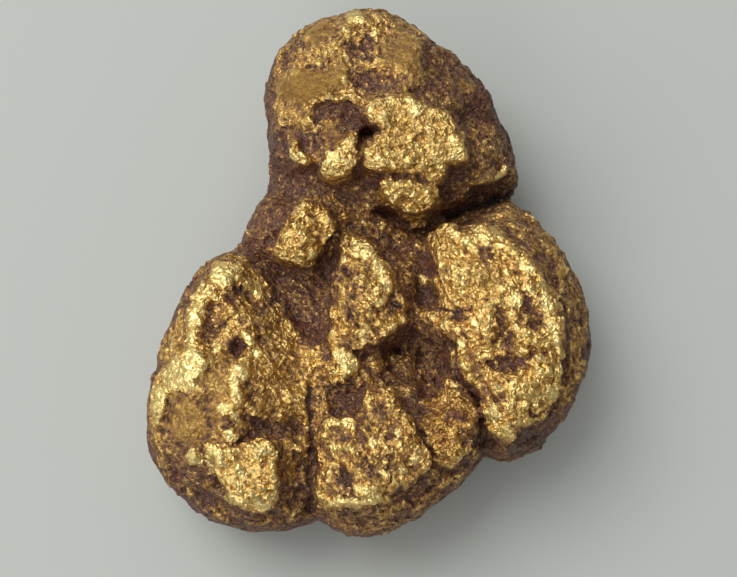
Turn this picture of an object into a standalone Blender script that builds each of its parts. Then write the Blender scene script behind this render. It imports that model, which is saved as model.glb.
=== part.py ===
"""A native gold nugget: one solid lump that lies on the worn flats of its underside."""
import math

import bmesh
import bpy
import numpy as np
from mathutils import Vector, noise

MM = 0.001

# Driving dimensions, in millimetres; x runs to the right, y towards the head, z up
GIRTH = 6.4
HEAD_TOP = 15.0
LEFT_TOP = 13.9
RIGHT_TOP = 14.6
BOTTOM_TOP = 13.0
RIDGE_TOP = 13.6
SHOULDER_TOP = 12.6
ORANGE_TOP = 13.1
NECK_TOP = 10.6
BODY_TOP = 12.0
FOOT = -0.7
CORE_FOOT = 1.2

# The plans of the relief further down are drawn at one height, spread from a point high above
PLAN_LEVEL = 13.0
FOCUS = (-0.1, -28.56, 113.7)

# Fineness of the surface: skin grid in millimetres, triangles kept, rings and points of each lobe
VOXEL = 0.42
TRIANGLES = 9800
RINGS_ABOVE = 9
RINGS_BELOW = 7
STEPS_PER_SPAN = 3
SOFTENING_STEPS = 12

# Plan outlines of the lobes where they are widest
HEAD = [
    (-8.1, 5.6), (-8.7, 7.1), (-8.7, 9.2), (-8.7, 12.0), (-8.8, 14.5), (-8.4, 16.7), (-7.3, 19.2),
    (-5.4, 20.8), (-3.1, 21.5), (-0.7, 21.8), (1.6, 21.3), (3.9, 20.3), (6.1, 19.0), (8.1, 17.2),
    (9.5, 15.3), (10.7, 13.8), (11.4, 12.1), (12.0, 10.0), (12.2, 8.4), (11.8, 6.0), (10.4, 4.4),
    (7.4, 3.3), (3.9, 2.5), (0.0, 2.2), (-3.9, 2.8), (-6.8, 4.1)]
LEFT = [
    (-4.2, -20.4), (-6.0, -21.3), (-9.5, -21.9), (-12.4, -21.2), (-14.7, -19.7), (-16.5, -17.7),
    (-17.7, -16.0), (-18.0, -13.2), (-17.5, -10.2), (-16.7, -7.4), (-15.9, -4.8), (-15.0, -2.3),
    (-13.6, -0.2), (-12.0, 0.9), (-10.4, 1.0), (-8.4, -0.8), (-6.2, -4.0), (-4.9, -7.8),
    (-4.3, -11.8), (-4.1, -16.4)]
RIGHT = [
    (5.2, 3.0), (8.2, 4.3), (11.1, 5.3), (12.9, 4.6), (14.6, 2.8), (16.1, 0.2), (17.4, -2.8),
    (18.1, -6.0), (17.7, -8.8), (16.6, -11.2), (15.4, -13.3), (13.5, -15.1), (11.5, -16.1),
    (10.2, -16.1), (8.9, -14.8), (7.6, -12.0), (6.0, -8.4), (4.6, -4.4), (4.2, -0.4)]
BOTTOM = [
    (-4.5, -19.8), (-3.4, -21.3), (-1.2, -22.0), (1.6, -21.7), (3.9, -20.7), (5.6, -19.2),
    (7.2, -18.2), (8.1, -16.8), (7.6, -14.0), (5.6, -10.6), (2.2, -9.0), (-1.6, -9.0),
    (-4.0, -11.4), (-4.7, -15.8)]
RIDGE = [
    (-2.8, -10.0), (-4.0, -6.4), (-3.9, -2.4), (-3.2, 0.8), (-1.2, 2.2), (1.0, 1.6), (2.8, -0.8),
    (4.2, -4.0), (3.4, -6.8), (1.6, -8.8), (-0.6, -10.8)]
SHOULDER = [
    (-10.3, 1.0), (-10.1, 3.1), (-9.3, 4.8), (-7.6, 6.0), (-4.8, 5.4), (-2.6, 3.6), (-1.6, 1.0),
    (-3.4, -1.8), (-6.6, -2.0), (-9.2, -0.8)]
ORANGE = [
    (4.2, -12.8), (5.2, -11.6), (6.6, -11.2), (8.0, -12.2), (8.9, -13.8), (8.9, -15.6),
    (7.9, -17.4), (6.2, -18.3), (4.8, -17.2), (4.1, -15.0)]
NECK = [
    (-8.4, 6.4), (-4.0, 8.0), (4.0, 8.0), (10.8, 7.4), (11.4, 5.4), (12.0, 0.0), (4.0, -4.0),
    (-6.0, -3.0), (-9.6, 0.6), (-9.4, 4.2)]
BODY = [
    (-9.8, 1.0), (-6.0, 2.6), (0.0, 2.4), (6.0, 2.6), (12.0, 4.0), (15.0, 0.0), (15.0, -8.0),
    (12.4, -13.4), (9.2, -15.4), (6.0, -18.2), (1.0, -20.0), (-4.4, -20.6), (-10.0, -19.6),
    (-15.0, -16.0), (-15.4, -8.0), (-13.6, -1.0)]

# Each lobe: plan outline, height of its top, height of its foot, fullness of its shoulders
LOBES = [
    (HEAD, HEAD_TOP, FOOT, 2.9),
    (LEFT, LEFT_TOP, FOOT, 3.0),
    (RIGHT, RIGHT_TOP, FOOT, 2.8),
    (BOTTOM, BOTTOM_TOP, FOOT, 3.2),
    (RIDGE, RIDGE_TOP, CORE_FOOT, 2.4),
    (SHOULDER, SHOULDER_TOP, CORE_FOOT, 3.0),
    (ORANGE, ORANGE_TOP, CORE_FOOT, 2.6),
    (NECK, NECK_TOP, CORE_FOOT, 3.4),
    (BODY, BODY_TOP, CORE_FOOT, 4.0)]

# Raised plates of bright gold on the upper side: plan outline and how far each stands up
PLATES = [
    ([(-0.6, 11.4), (0.5, 12.6), (1.4, 12.7), (2.5, 13.0), (4.2, 12.2), (6.0, 11.2), (7.2, 9.6),
      (8.0, 7.4), (7.2, 6.7), (6.2, 6.5), (5.7, 5.3), (4.4, 5.4), (3.2, 6.1), (0.6, 6.0),
      (-0.6, 6.8), (-0.5, 8.2), (0.7, 9.5), (-0.2, 10.3)], 1.1),
    ([(-9.0, 8.4), (-9.6, 14.0), (-8.0, 19.5), (-5.0, 22.6), (0.0, 23.6), (3.8, 22.0), (4.3, 19.0),
      (4.5, 16.4), (4.4, 14.0), (3.2, 13.2), (-0.8, 12.6), (-4.4, 12.4), (-5.0, 9.6), (-6.4, 9.6)],
     0.35),
    ([(0.8, 5.6), (3.0, 5.8), (5.0, 5.2), (5.6, 4.5), (5.0, 3.2), (3.8, 1.9), (2.4, 2.7),
      (1.0, 3.8)], 0.9),
    ([(-0.9, 9.7), (-2.2, 9.2), (-3.0, 8.1), (-4.2, 6.3), (-3.1, 5.2), (-1.7, 5.6), (-1.0, 7.6)], 0.9),
    ([(-6.4, 9.4), (-6.3, 7.8), (-5.5, 6.6), (-4.7, 6.9), (-5.4, 8.2), (-5.6, 9.2)], 0.6),
    ([(-7.8, 13.8), (-7.0, 14.8), (-4.6, 15.2), (-2.2, 14.8), (-1.8, 13.5), (-3.4, 12.9),
      (-5.2, 11.8), (-7.2, 12.6)], 0.6),
    ([(1.0, 15.2), (1.0, 18.0), (2.6, 18.8), (4.0, 17.8), (3.9, 15.0), (2.6, 13.4)], 0.55),
    ([(-5.4, 3.5), (-3.9, 3.6), (-2.8, 2.4), (-2.8, 1.0), (-4.1, -0.8), (-4.8, -1.9), (-6.6, -1.5),
      (-7.6, -0.7), (-7.0, 1.2), (-6.3, 2.4)], 0.9),
    ([(-2.2, 0.9), (-0.3, 0.7), (0.6, -0.6), (1.8, -2.2), (1.9, -3.8), (3.1, -4.8), (2.6, -6.3),
      (0.6, -7.7), (-0.8, -8.2), (-1.4, -10.5), (-3.0, -10.6), (-3.1, -7.8), (-2.9, -4.8),
      (-2.8, -1.8)], 0.7),
    ([(-10.2, -1.6), (-11.8, -1.5), (-13.4, -3.6), (-14.3, -6.0), (-14.4, -8.2), (-16.4, -10.6),
      (-17.0, -12.8), (-16.0, -14.0), (-15.3, -12.0), (-13.0, -11.0), (-12.4, -9.3), (-13.3, -7.6),
      (-12.9, -4.8), (-10.8, -3.6), (-9.4, -3.2)], 0.6),
    ([(-11.6, -16.1), (-10.0, -15.6), (-8.0, -15.3), (-6.9, -16.6), (-6.9, -19.4), (-8.4, -20.8),
      (-10.8, -19.8), (-11.6, -18.0)], 0.6),
    ([(-9.2, -7.4), (-9.0, -11.4), (-10.4, -13.0), (-10.9, -10.8), (-10.2, -9.0)], 0.45),
    ([(-4.0, -19.8), (-1.8, -20.2), (0.4, -20.2), (3.4, -18.6), (4.8, -16.8), (3.9, -14.6),
      (2.4, -13.4), (1.8, -11.3), (-0.2, -11.4), (-0.6, -13.8), (-3.6, -13.6), (-3.8, -17.2)], 0.6),
    ([(4.9, 1.0), (6.0, 1.8), (8.8, 1.9), (10.3, 1.2), (12.4, -0.8), (14.0, -3.0), (15.0, -6.2),
      (14.7, -10.8), (13.3, -13.2), (10.4, -15.4), (8.7, -14.6), (8.6, -11.6), (6.9, -10.0),
      (6.9, -7.8), (5.2, -6.2), (5.6, -4.2), (4.6, -2.8), (5.3, -1.8)], 0.6)]

# Sunken places between the plates: plan outline and depth
HOLLOWS = [
    ([(-4.3, 11.0), (-3.4, 12.2), (-1.4, 12.2), (-0.8, 10.0), (0.6, 10.0), (-0.3, 8.9), (-0.7, 6.6),
      (-1.2, 9.4), (-2.6, 9.8), (-4.4, 8.2)], 0.7),
    ([(-1.2, 14.4), (-0.4, 15.2), (1.8, 14.8), (2.8, 13.9), (1.6, 12.9), (-0.2, 12.9)], 0.6),
    ([(6.8, 11.6), (9.0, 11.8), (9.2, 10.4), (8.4, 9.2), (7.4, 10.0)], 0.6),
    ([(-8.4, 6.6), (-4.6, 6.7), (0.4, 5.8), (2.0, 3.0), (0.8, 1.6), (-2.6, 3.6), (-7.6, 4.6)], 1.1),
    ([(-8.6, -0.8), (-7.6, -1.4), (-4.6, -2.0), (-2.8, 0.2), (-3.0, -4.2), (-3.4, -7.4),
      (-5.4, -6.8), (-7.2, -4.2)], 1.2),
    ([(0.4, -8.3), (2.6, -6.7), (4.6, -6.8), (6.5, -8.2), (6.7, -10.6), (4.6, -11.6), (2.0, -11.0)],
     1.9),
    ([(-3.4, -11.4), (-0.6, -11.2), (-0.6, -13.2), (-3.2, -13.3)], 0.6),
    ([(3.2, 0.0), (4.8, -0.2), (5.4, -3.0), (5.0, -5.0), (3.4, -4.6)], 0.9),
    ([(1.2, 1.2), (3.0, 1.4), (4.6, 1.0), (4.4, -0.8), (2.6, -1.8)], 0.5),
    ([(-9.4, -13.4), (-5.6, -13.0), (-4.8, -15.4), (-7.0, -15.1), (-9.0, -15.0)], 0.6),
    ([(9.9, -5.3), (11.0, -5.8), (11.2, -8.6), (12.4, -9.0), (12.0, -10.3), (9.8, -10.2)], 0.7),
    ([(12.0, -3.8), (12.8, -4.2), (13.6, -6.6), (12.5, -6.7)], 0.5),
    ([(-13.4, -5.4), (-12.2, -5.0), (-11.2, -6.0), (-11.6, -7.4), (-12.8, -7.8), (-13.4, -6.8)], 0.5),
    ([(-6.8, -16.8), (-4.8, -16.6), (-4.3, -18.8), (-4.6, -20.6), (-6.2, -20.6), (-6.8, -19.0)], 0.6),
    ([(-13.6, -19.0), (-11.4, -19.3), (-11.2, -20.4), (-13.2, -20.4)], 0.6),
    ([(11.4, -14.4), (13.8, -14.3), (13.6, -15.4), (11.8, -15.8)], 0.6)]

# Narrow cracks: route in plan, half width and depth
CRACKS = [
    ([(0.6, 2.8), (2.2, 2.0), (4.2, 1.8), (7.4, 2.8), (9.4, 4.3), (11.2, 5.1), (12.6, 5.6)], 0.6, 2.2),
    ([(-4.4, -11.4), (-4.2, -15.4), (-4.5, -17.8), (-4.3, -21.2)], 0.4, 0.6),
    ([(6.4, -10.6), (8.2, -12.8), (9.1, -15.8)], 0.4, 0.8),
    ([(4.0, -15.2), (5.0, -17.3), (6.4, -18.0)], 0.4, 0.6),
    ([(6.0, -4.8), (8.2, -5.3)], 0.3, 0.4)]

# Round pits: centre in plan, radius and depth
PITS = [
    ((-10.2, -8.2), 0.75, 0.9), ((2.0, -8.2), 0.6, 0.7), ((3.8, -8.7), 0.7, 0.9),
    ((0.0, 9.6), 0.7, 1.1), ((-2.0, -18.0), 0.7, 0.4), ((12.6, -13.0), 0.4, 0.4),
    ((9.1, -9.5), 0.5, 0.4)]

# How sharp the plates and hollows are, how ragged their outlines, and the size and height of the
# swells and lumps all over the skin, in millimetres
PLATE_EDGE = 0.3
HOLLOW_EDGE = 0.7
EDGE_WOBBLE = 0.3
WOBBLE_SIZE = 1.3
SWELL_SIZE = 4.5
SWELL_HEIGHT = 0.5
LUMP_SIZE = 1.7
LUMP_HEIGHT = 0.3


def clear_scene():
    for old in list(bpy.data.objects):
        bpy.data.objects.remove(old, do_unlink=True)


def rounded(outline):
    """The outline as a smooth closed curve through its points."""
    curve = []
    count = len(outline)
    for i in range(count):
        before, start, end, after = (Vector(outline[(i + k) % count]) for k in (-1, 0, 1, 2))
        for step in range(STEPS_PER_SPAN):
            t = step / STEPS_PER_SPAN
            bend = (2 * before - 5 * start + 4 * end - after) * t * t
            turn = (3 * start - before - 3 * end + after) * t ** 3
            curve.append(start + 0.5 * ((end - before) * t + bend + turn))
    return curve


def add_lobe(bm, outline, top, foot, fullness):
    """A closed pebble: the outline at the girth, drawn in ring by ring above and below."""
    curve = rounded(outline)
    centre = sum(curve, Vector((0, 0))) / len(curve)
    levels = []
    for i in range(RINGS_BELOW, 0, -1):
        levels.append((foot, math.sin(i / RINGS_BELOW * math.pi / 2) * 0.99))
    for i in range(RINGS_ABOVE + 1):
        levels.append((top, math.sin(i / RINGS_ABOVE * math.pi / 2) * 0.99))
    rings = []
    for end, reach in levels:
        size = (1 - reach ** fullness) ** (1 / 2)
        height = GIRTH + (end - GIRTH) * reach
        places = [centre + (p - centre) * size for p in curve]
        rings.append([bm.verts.new((p.x * MM, p.y * MM, height * MM)) for p in places])
    for lower, upper in zip(rings, rings[1:]):
        for i in range(len(curve)):
            bm.faces.new((lower[i - 1], lower[i], upper[i], upper[i - 1]))
    bm.faces.new(rings[-1])
    bm.faces.new(list(reversed(rings[0])))


def apply_modifier(piece, kind, **settings):
    modifier = piece.modifiers.new(kind.title(), kind)
    for key, value in settings.items():
        setattr(modifier, key, value)
    bpy.ops.object.modifier_apply(modifier=modifier.name)


def grow_lump():
    """All the lobes grown together in one skin, their joints softened."""
    bm = bmesh.new()
    for outline, top, foot, fullness in LOBES:
        add_lobe(bm, outline, top, foot, fullness)
    bmesh.ops.recalc_face_normals(bm, faces=bm.faces)
    mesh = bpy.data.meshes.new("gold_nugget")
    bm.to_mesh(mesh)
    bm.free()
    lump = bpy.data.objects.new("gold_nugget", mesh)
    bpy.context.scene.collection.objects.link(lump)
    bpy.context.view_layer.objects.active = lump
    apply_modifier(lump, "REMESH", mode="VOXEL", voxel_size=VOXEL * MM)
    apply_modifier(lump, "SMOOTH", factor=0.5, iterations=SOFTENING_STEPS)
    return lump


def inside(outline, plan):
    """Distance of each plan point from the outline, positive inside it."""
    start = np.array(outline)
    end = np.roll(start, -1, axis=0)
    run = end - start
    rel = plan[:, None, :] - start[None]
    along = np.clip((rel * run).sum(2) / (run * run).sum(1), 0, 1)
    gap = np.linalg.norm(rel - along[..., None] * run, axis=2).min(1)
    level = plan[:, None, 1]
    straddles = (start[:, 1] > level) != (end[:, 1] > level)
    rise = np.where(run[:, 1] == 0, 1e-9, run[:, 1])
    crossing = start[:, 0] + (level - start[:, 1]) * run[:, 0] / rise
    hits = (straddles & (plan[:, None, 0] < crossing)).sum(1)
    return np.where(hits % 2 == 1, gap, -gap)


def from_route(route, plan):
    """Distance of each plan point from an open route."""
    start = np.array(route[:-1])
    run = np.array(route[1:]) - start
    rel = plan[:, None, :] - start[None]
    along = np.clip((rel * run).sum(2) / (run * run).sum(1), 0, 1)
    return np.linalg.norm(rel - along[..., None] * run, axis=2).min(1)


def step_up(low, high, value):
    """A smooth step from 0 at low to 1 at high."""
    t = np.clip((value - low) / (high - low), 0, 1)
    return t * t * (3 - 2 * t)


def noise_at(places, size, offset):
    """Smooth noise of the given lump size at each place, about -1 to 1."""
    return np.array([noise.noise(Vector(p) / size + Vector((offset, 0, 0))) for p in places])


def spread_plan(places):
    """Where the line from the focus through each place meets the level of the plans."""
    focus = np.array(FOCUS)
    share = (PLAN_LEVEL - focus[2]) / (places[:, 2] - focus[2])
    return (focus + (places - focus) * share[:, None])[:, :2]


def raise_relief(lump):
    """Plates raised, hollows, cracks and pits sunk, and the whole skin made lumpy."""
    mesh = lump.data
    count = len(mesh.vertices)
    places = np.empty(count * 3)
    mesh.vertices.foreach_get("co", places)
    places = places.reshape(-1, 3) / MM
    normals = np.empty(count * 3)
    mesh.vertices.foreach_get("normal", normals)
    normals = normals.reshape(-1, 3)
    wobble = np.stack([noise_at(places, WOBBLE_SIZE, 0), noise_at(places, WOBBLE_SIZE, 40)], 1)
    plan = spread_plan(places) + EDGE_WOBBLE * wobble
    faces_up = step_up(0.1, 0.55, normals[:, 2])
    sunk = np.zeros(count)
    for outline, depth in HOLLOWS:
        sunk = np.maximum(sunk, depth * step_up(-HOLLOW_EDGE, HOLLOW_EDGE, inside(outline, plan)))
    for route, half_width, depth in CRACKS:
        sunk = np.maximum(sunk, depth * step_up(-2 * half_width, 0, -from_route(route, plan)))
    for centre, radius, depth in PITS:
        away = np.linalg.norm(plan - np.array(centre), axis=1)
        sunk += depth * step_up(-1.4 * radius, -0.5 * radius, -away)
    raised = np.zeros(count)
    for outline, height in PLATES:
        raised = np.maximum(raised, height * step_up(-PLATE_EDGE, PLATE_EDGE, inside(outline, plan)))
    lean = normals + np.array((0, 0, 1.5)) * (normals[:, 2:3] > 0)
    lean /= np.linalg.norm(lean, axis=1)[:, None]
    places += lean * ((raised - sunk) * faces_up)[:, None]
    swell = SWELL_HEIGHT * noise_at(places, SWELL_SIZE, 80)
    lumps = LUMP_HEIGHT * noise_at(places, LUMP_SIZE, 120)
    places += normals * (swell + lumps)[:, None]
    mesh.vertices.foreach_set("co", (places * MM).ravel())
    mesh.update()


def wear_flat(lump):
    """The underside cut level at z = 0, where the nugget rests."""
    bm = bmesh.new()
    bm.from_mesh(lump.data)
    everything = bm.verts[:] + bm.edges[:] + bm.faces[:]
    bmesh.ops.bisect_plane(bm, geom=everything, plane_co=(0, 0, 0), plane_no=(0, 0, 1), clear_inner=True)
    rims = [edge for edge in bm.edges if edge.is_boundary]
    bmesh.ops.holes_fill(bm, edges=rims, sides=0)
    bmesh.ops.triangulate(bm, faces=bm.faces)
    bmesh.ops.recalc_face_normals(bm, faces=bm.faces)
    bm.to_mesh(lump.data)
    bm.free()


def gold():
    """Dull native gold, its hollows stained brown."""
    material = bpy.data.materials.new("native_gold")
    material.use_nodes = True
    shader = material.node_tree.nodes["Principled BSDF"]
    shader.inputs["Base Color"].default_value = (0.56, 0.34, 0.12, 1)
    shader.inputs["Metallic"].default_value = 1.0
    shader.inputs["Roughness"].default_value = 0.42
    return material


clear_scene()
nugget = grow_lump()
raise_relief(nugget)
full_count = 2 * len(nugget.data.polygons)
apply_modifier(nugget, "DECIMATE", ratio=TRIANGLES / full_count)
wear_flat(nugget)
nugget.data.materials.append(gold())
nugget.data.shade_smooth()
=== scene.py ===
import math
import bpy
import numpy as np
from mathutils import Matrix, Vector, noise


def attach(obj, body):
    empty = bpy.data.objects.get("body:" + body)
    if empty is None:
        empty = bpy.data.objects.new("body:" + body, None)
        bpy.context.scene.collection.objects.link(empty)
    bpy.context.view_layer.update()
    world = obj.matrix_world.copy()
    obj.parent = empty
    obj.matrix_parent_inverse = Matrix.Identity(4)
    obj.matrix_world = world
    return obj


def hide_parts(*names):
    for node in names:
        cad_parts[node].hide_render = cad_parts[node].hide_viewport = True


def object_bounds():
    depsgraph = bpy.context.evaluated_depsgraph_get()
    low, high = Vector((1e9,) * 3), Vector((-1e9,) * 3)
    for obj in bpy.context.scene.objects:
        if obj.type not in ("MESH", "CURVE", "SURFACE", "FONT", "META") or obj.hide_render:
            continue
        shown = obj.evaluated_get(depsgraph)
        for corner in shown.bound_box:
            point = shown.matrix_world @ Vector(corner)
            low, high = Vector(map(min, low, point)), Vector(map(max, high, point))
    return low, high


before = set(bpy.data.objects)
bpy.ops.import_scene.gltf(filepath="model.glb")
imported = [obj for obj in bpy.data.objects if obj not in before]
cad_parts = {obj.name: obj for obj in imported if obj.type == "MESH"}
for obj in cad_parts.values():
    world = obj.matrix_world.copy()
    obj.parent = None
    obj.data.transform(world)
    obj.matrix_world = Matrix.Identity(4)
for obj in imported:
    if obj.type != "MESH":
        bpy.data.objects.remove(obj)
CAD_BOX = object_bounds()

MM = 0.001

# The camera of the photograph: where it looks, its height above the horizon and its distance
TARGET = Vector((-0.1, -1.95, 7.0)) * MM
ELEVATION = math.radians(76)
DISTANCE = 110 * MM
SENSOR_MM = 36
FRAME_WIDTH = 61.42 * MM
EYE = TARGET + DISTANCE * Vector((0, -math.cos(ELEVATION), math.sin(ELEVATION)))

# Every outline below is a plan at this height, in millimetres, as the camera sees it
PLAN_LEVEL = 13.0

# Shares of bare gold: down the sides, at the resting flats, in the hollows, under a stain, elsewhere on top
SIDE_BARE = 0.14
FLAT_BARE = 0.6
HOLLOW_BARE = 0.4
STAIN_BARE = 0.1
TOP_BARE = 0.58

# How red the crust is, on top and down the sides
TOP_RED = 0.35
SIDE_RED = 0.8

# Outlines of the raised plates of gold
BIG_PLATE = [
    (-0.6, 11.4), (0.0, 12.2), (0.5, 12.6), (1.3, 12.6), (2.0, 13.0), (2.6, 13.0), (3.2, 12.8), (3.8, 12.4),
    (4.6, 12.0), (5.3, 11.5), (6.0, 11.2), (6.6, 10.7), (6.9, 10.0), (7.4, 9.4), (7.5, 8.7), (7.6, 8.0),
    (8.0, 7.4), (7.5, 6.9), (7.0, 6.7), (6.5, 6.7), (6.2, 6.5), (6.0, 5.8), (5.6, 5.3), (5.0, 5.2),
    (4.5, 5.3), (4.0, 5.8), (3.3, 6.0), (2.6, 5.9), (1.8, 6.1), (1.0, 6.2), (0.4, 5.8), (0.0, 5.6),
    (-0.4, 6.6), (-0.8, 6.9), (-0.3, 7.3), (-0.5, 8.2), (-0.1, 8.6), (0.4, 8.8), (0.6, 9.4), (0.9, 10.0),
    (0.5, 10.2), (-0.1, 10.2), (-0.4, 10.8)]
TONGUE = [
    (0.7, 5.4), (1.5, 5.8), (2.4, 5.6), (3.3, 5.5), (4.1, 5.3), (4.8, 5.1), (5.5, 4.8), (5.7, 4.0),
    (5.5, 3.3), (5.0, 2.7), (4.5, 2.1), (3.8, 1.6), (3.3, 1.8), (2.6, 2.3), (2.1, 2.8), (1.5, 3.2),
    (1.0, 3.5), (0.6, 4.0), (0.7, 4.8)]
SMALL_LEFT_PLATE = [
    (-0.9, 9.7), (-1.5, 9.6), (-2.2, 9.2), (-2.7, 8.4), (-3.3, 7.9), (-3.7, 7.0), (-4.2, 6.3), (-4.0, 5.8),
    (-3.4, 5.5), (-3.1, 5.2), (-2.8, 5.3), (-2.3, 5.5), (-1.7, 5.6), (-1.5, 6.1), (-1.2, 6.9), (-1.0, 8.0),
    (-0.9, 9.0)]
FLAKE = [
    (-6.3, 9.4), (-6.5, 8.4), (-6.2, 7.7), (-6.0, 7.1), (-5.5, 6.6), (-5.0, 6.5), (-4.7, 6.9), (-5.0, 7.3),
    (-5.4, 7.8), (-5.5, 8.6), (-5.8, 9.2)]
OCHRE_PATCH = [
    (-7.8, 13.5), (-7.4, 14.3), (-6.6, 14.9), (-5.4, 15.1), (-4.2, 15.0), (-3.0, 15.3), (-1.8, 15.4),
    (-1.6, 14.2), (-1.9, 13.2), (-3.0, 13.0), (-4.2, 12.8), (-4.8, 12.2), (-5.6, 12.0), (-6.6, 12.4),
    (-7.6, 13.0)]
UPPER_OCHRE = [
    (-5.2, 17.6), (-5.0, 18.8), (-4.2, 19.4), (-3.2, 19.4), (-2.9, 18.6), (-3.4, 17.8), (-4.4, 17.4)]
RIGHT_OCHRE = [
    (0.9, 16.2), (1.2, 17.6), (2.0, 18.3), (3.2, 18.2), (4.0, 17.2), (4.1, 15.6), (4.2, 14.2), (3.2, 13.6),
    (2.4, 13.8), (2.9, 14.6), (1.8, 15.2), (0.4, 15.3)]
TOP_BAND = [(-2.6, 18.4), (-1.8, 19.8), (0.0, 20.2), (1.6, 19.6), (1.2, 18.4), (-0.6, 18.0)]
SHOULDER_PLATE = [
    (-5.9, 3.4), (-5.0, 3.6), (-4.3, 3.5), (-3.7, 3.6), (-3.2, 3.2), (-3.0, 2.4), (-2.6, 1.6), (-2.7, 0.8),
    (-3.3, 0.0), (-3.6, -0.6), (-4.1, -1.0), (-4.3, -1.7), (-4.8, -1.9), (-5.5, -1.6), (-6.4, -1.5),
    (-7.0, -1.3), (-7.5, -0.8), (-7.3, 0.0), (-7.0, 1.0), (-6.5, 2.0), (-6.2, 2.8)]
RIDGE_PLATE = [
    (-2.0, 1.0), (-1.2, 0.9), (-0.3, 0.7), (0.1, 0.3), (0.4, -0.4), (1.0, -1.2), (1.6, -2.0), (2.0, -2.8),
    (1.9, -3.7), (1.6, -4.2), (2.4, -4.0), (3.1, -5.0), (2.8, -6.0), (2.4, -6.5), (1.6, -7.2), (0.6, -7.8),
    (-0.1, -7.5), (-0.6, -8.6), (-1.0, -9.8), (-1.4, -10.6), (-2.2, -10.9), (-3.0, -10.6), (-3.2, -9.4),
    (-2.9, -8.2), (-3.1, -7.0), (-2.9, -5.5), (-2.6, -4.0), (-2.9, -2.2), (-2.5, -0.8), (-2.2, 0.3)]
LEFT_CREST = [
    (-10.2, -1.4), (-11.0, -1.4), (-11.9, -1.7), (-12.5, -2.7), (-13.1, -3.5), (-13.9, -4.3), (-14.0, -5.2),
    (-14.3, -6.2), (-14.2, -7.4), (-14.7, -8.6), (-15.4, -9.2), (-16.2, -10.0), (-16.6, -10.9),
    (-17.0, -11.9), (-17.0, -13.0), (-16.6, -14.1), (-16.0, -14.0), (-15.4, -13.2), (-15.8, -12.2),
    (-15.0, -11.7), (-14.0, -11.8), (-13.2, -11.1), (-12.5, -10.2), (-12.2, -9.2), (-12.9, -8.4),
    (-13.4, -7.6), (-13.2, -6.4), (-13.1, -5.2), (-12.5, -4.6), (-11.2, -4.4), (-10.0, -3.9), (-9.2, -4.2),
    (-8.9, -3.2), (-9.6, -2.4)]
LEFT_MIDDLE = [
    (-12.6, -9.4), (-11.4, -9.0), (-10.9, -10.4), (-11.0, -12.0), (-12.4, -13.2), (-14.0, -13.6),
    (-14.6, -12.2), (-13.4, -11.2)]
LEFT_FLAKES = [
    (-10.7, -9.5), (-9.9, -9.6), (-9.3, -10.0), (-9.4, -10.6), (-10.1, -10.7), (-10.4, -11.1),
    (-9.9, -12.0), (-10.0, -12.6), (-10.7, -12.0), (-11.0, -11.3), (-10.9, -10.6)]
PIT_FLAKE = [(-10.2, -7.0), (-9.2, -7.1), (-8.9, -7.9), (-9.4, -8.3), (-9.7, -7.7)]
LEFT_BOTTOM_PLATE = [
    (-11.6, -16.2), (-10.6, -15.7), (-9.6, -15.6), (-8.6, -15.2), (-7.4, -15.6), (-6.9, -16.4),
    (-7.0, -17.4), (-6.8, -18.4), (-6.9, -19.8), (-7.6, -20.6), (-8.7, -20.9), (-9.9, -20.3),
    (-10.9, -19.5), (-11.5, -18.5), (-11.7, -17.3)]
LEFT_SMALL_LEDGE = [
    (-12.6, -15.6), (-11.6, -15.3), (-10.6, -14.6), (-10.2, -15.2), (-11.2, -16.0), (-12.2, -16.6)]
INNER_LEDGE = [(-7.0, -15.6), (-5.6, -15.6), (-4.6, -15.8), (-4.6, -16.6), (-5.6, -16.4), (-6.6, -16.3)]
BOTTOM_PLATE = [
    (-3.4, -13.6), (-2.6, -13.8), (-1.4, -13.7), (-0.7, -13.9), (-0.3, -12.6), (-0.2, -11.6), (0.8, -11.5),
    (1.8, -11.5), (2.2, -12.4), (2.6, -13.4), (2.9, -14.6), (3.6, -15.2), (4.2, -15.8), (4.6, -16.6),
    (4.8, -17.2), (4.3, -17.9), (3.4, -18.6), (2.2, -19.0), (1.2, -19.7), (0.2, -20.3), (-0.9, -20.5),
    (-1.6, -20.3), (-2.3, -20.2), (-3.4, -20.5), (-4.2, -20.4), (-4.0, -19.0), (-3.9, -17.6), (-3.6, -16.0),
    (-3.8, -14.6)]
ORANGE_LUMP = [
    (4.3, -12.8), (5.0, -11.8), (6.0, -11.2), (6.6, -11.3), (7.4, -12.2), (8.1, -12.9), (8.2, -13.8),
    (7.7, -14.5), (7.6, -16.0), (6.9, -17.0), (6.1, -17.6), (5.3, -17.2), (4.8, -16.0), (4.3, -14.8),
    (4.2, -13.8)]
RIGHT_FIELD = [
    (5.0, 1.0), (5.2, 1.6), (6.0, 1.8), (6.8, 1.6), (7.2, 1.2), (8.0, 1.6), (8.8, 1.9), (9.7, 1.9),
    (10.4, 1.1), (11.8, 0.1), (12.4, -0.7), (13.2, -1.6), (14.0, -3.0), (14.5, -4.0), (14.9, -5.2),
    (15.0, -6.6), (14.9, -8.2), (14.8, -9.6), (14.7, -11.0), (14.2, -12.0), (13.6, -12.7), (13.1, -13.6),
    (12.4, -14.2), (11.4, -14.4), (10.9, -15.3), (10.3, -15.7), (9.8, -15.2), (8.9, -15.2), (8.5, -14.6),
    (8.6, -13.3), (8.8, -12.2), (8.3, -11.0), (7.3, -10.4), (6.8, -9.5), (6.7, -8.4), (7.2, -7.5),
    (6.2, -7.3), (5.6, -6.9), (4.9, -6.3), (4.0, -5.9), (4.6, -5.4), (5.6, -5.4), (5.5, -4.4), (5.0, -3.4),
    (4.3, -2.8), (5.2, -2.2), (5.2, -1.2), (4.9, -0.2)]
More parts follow.
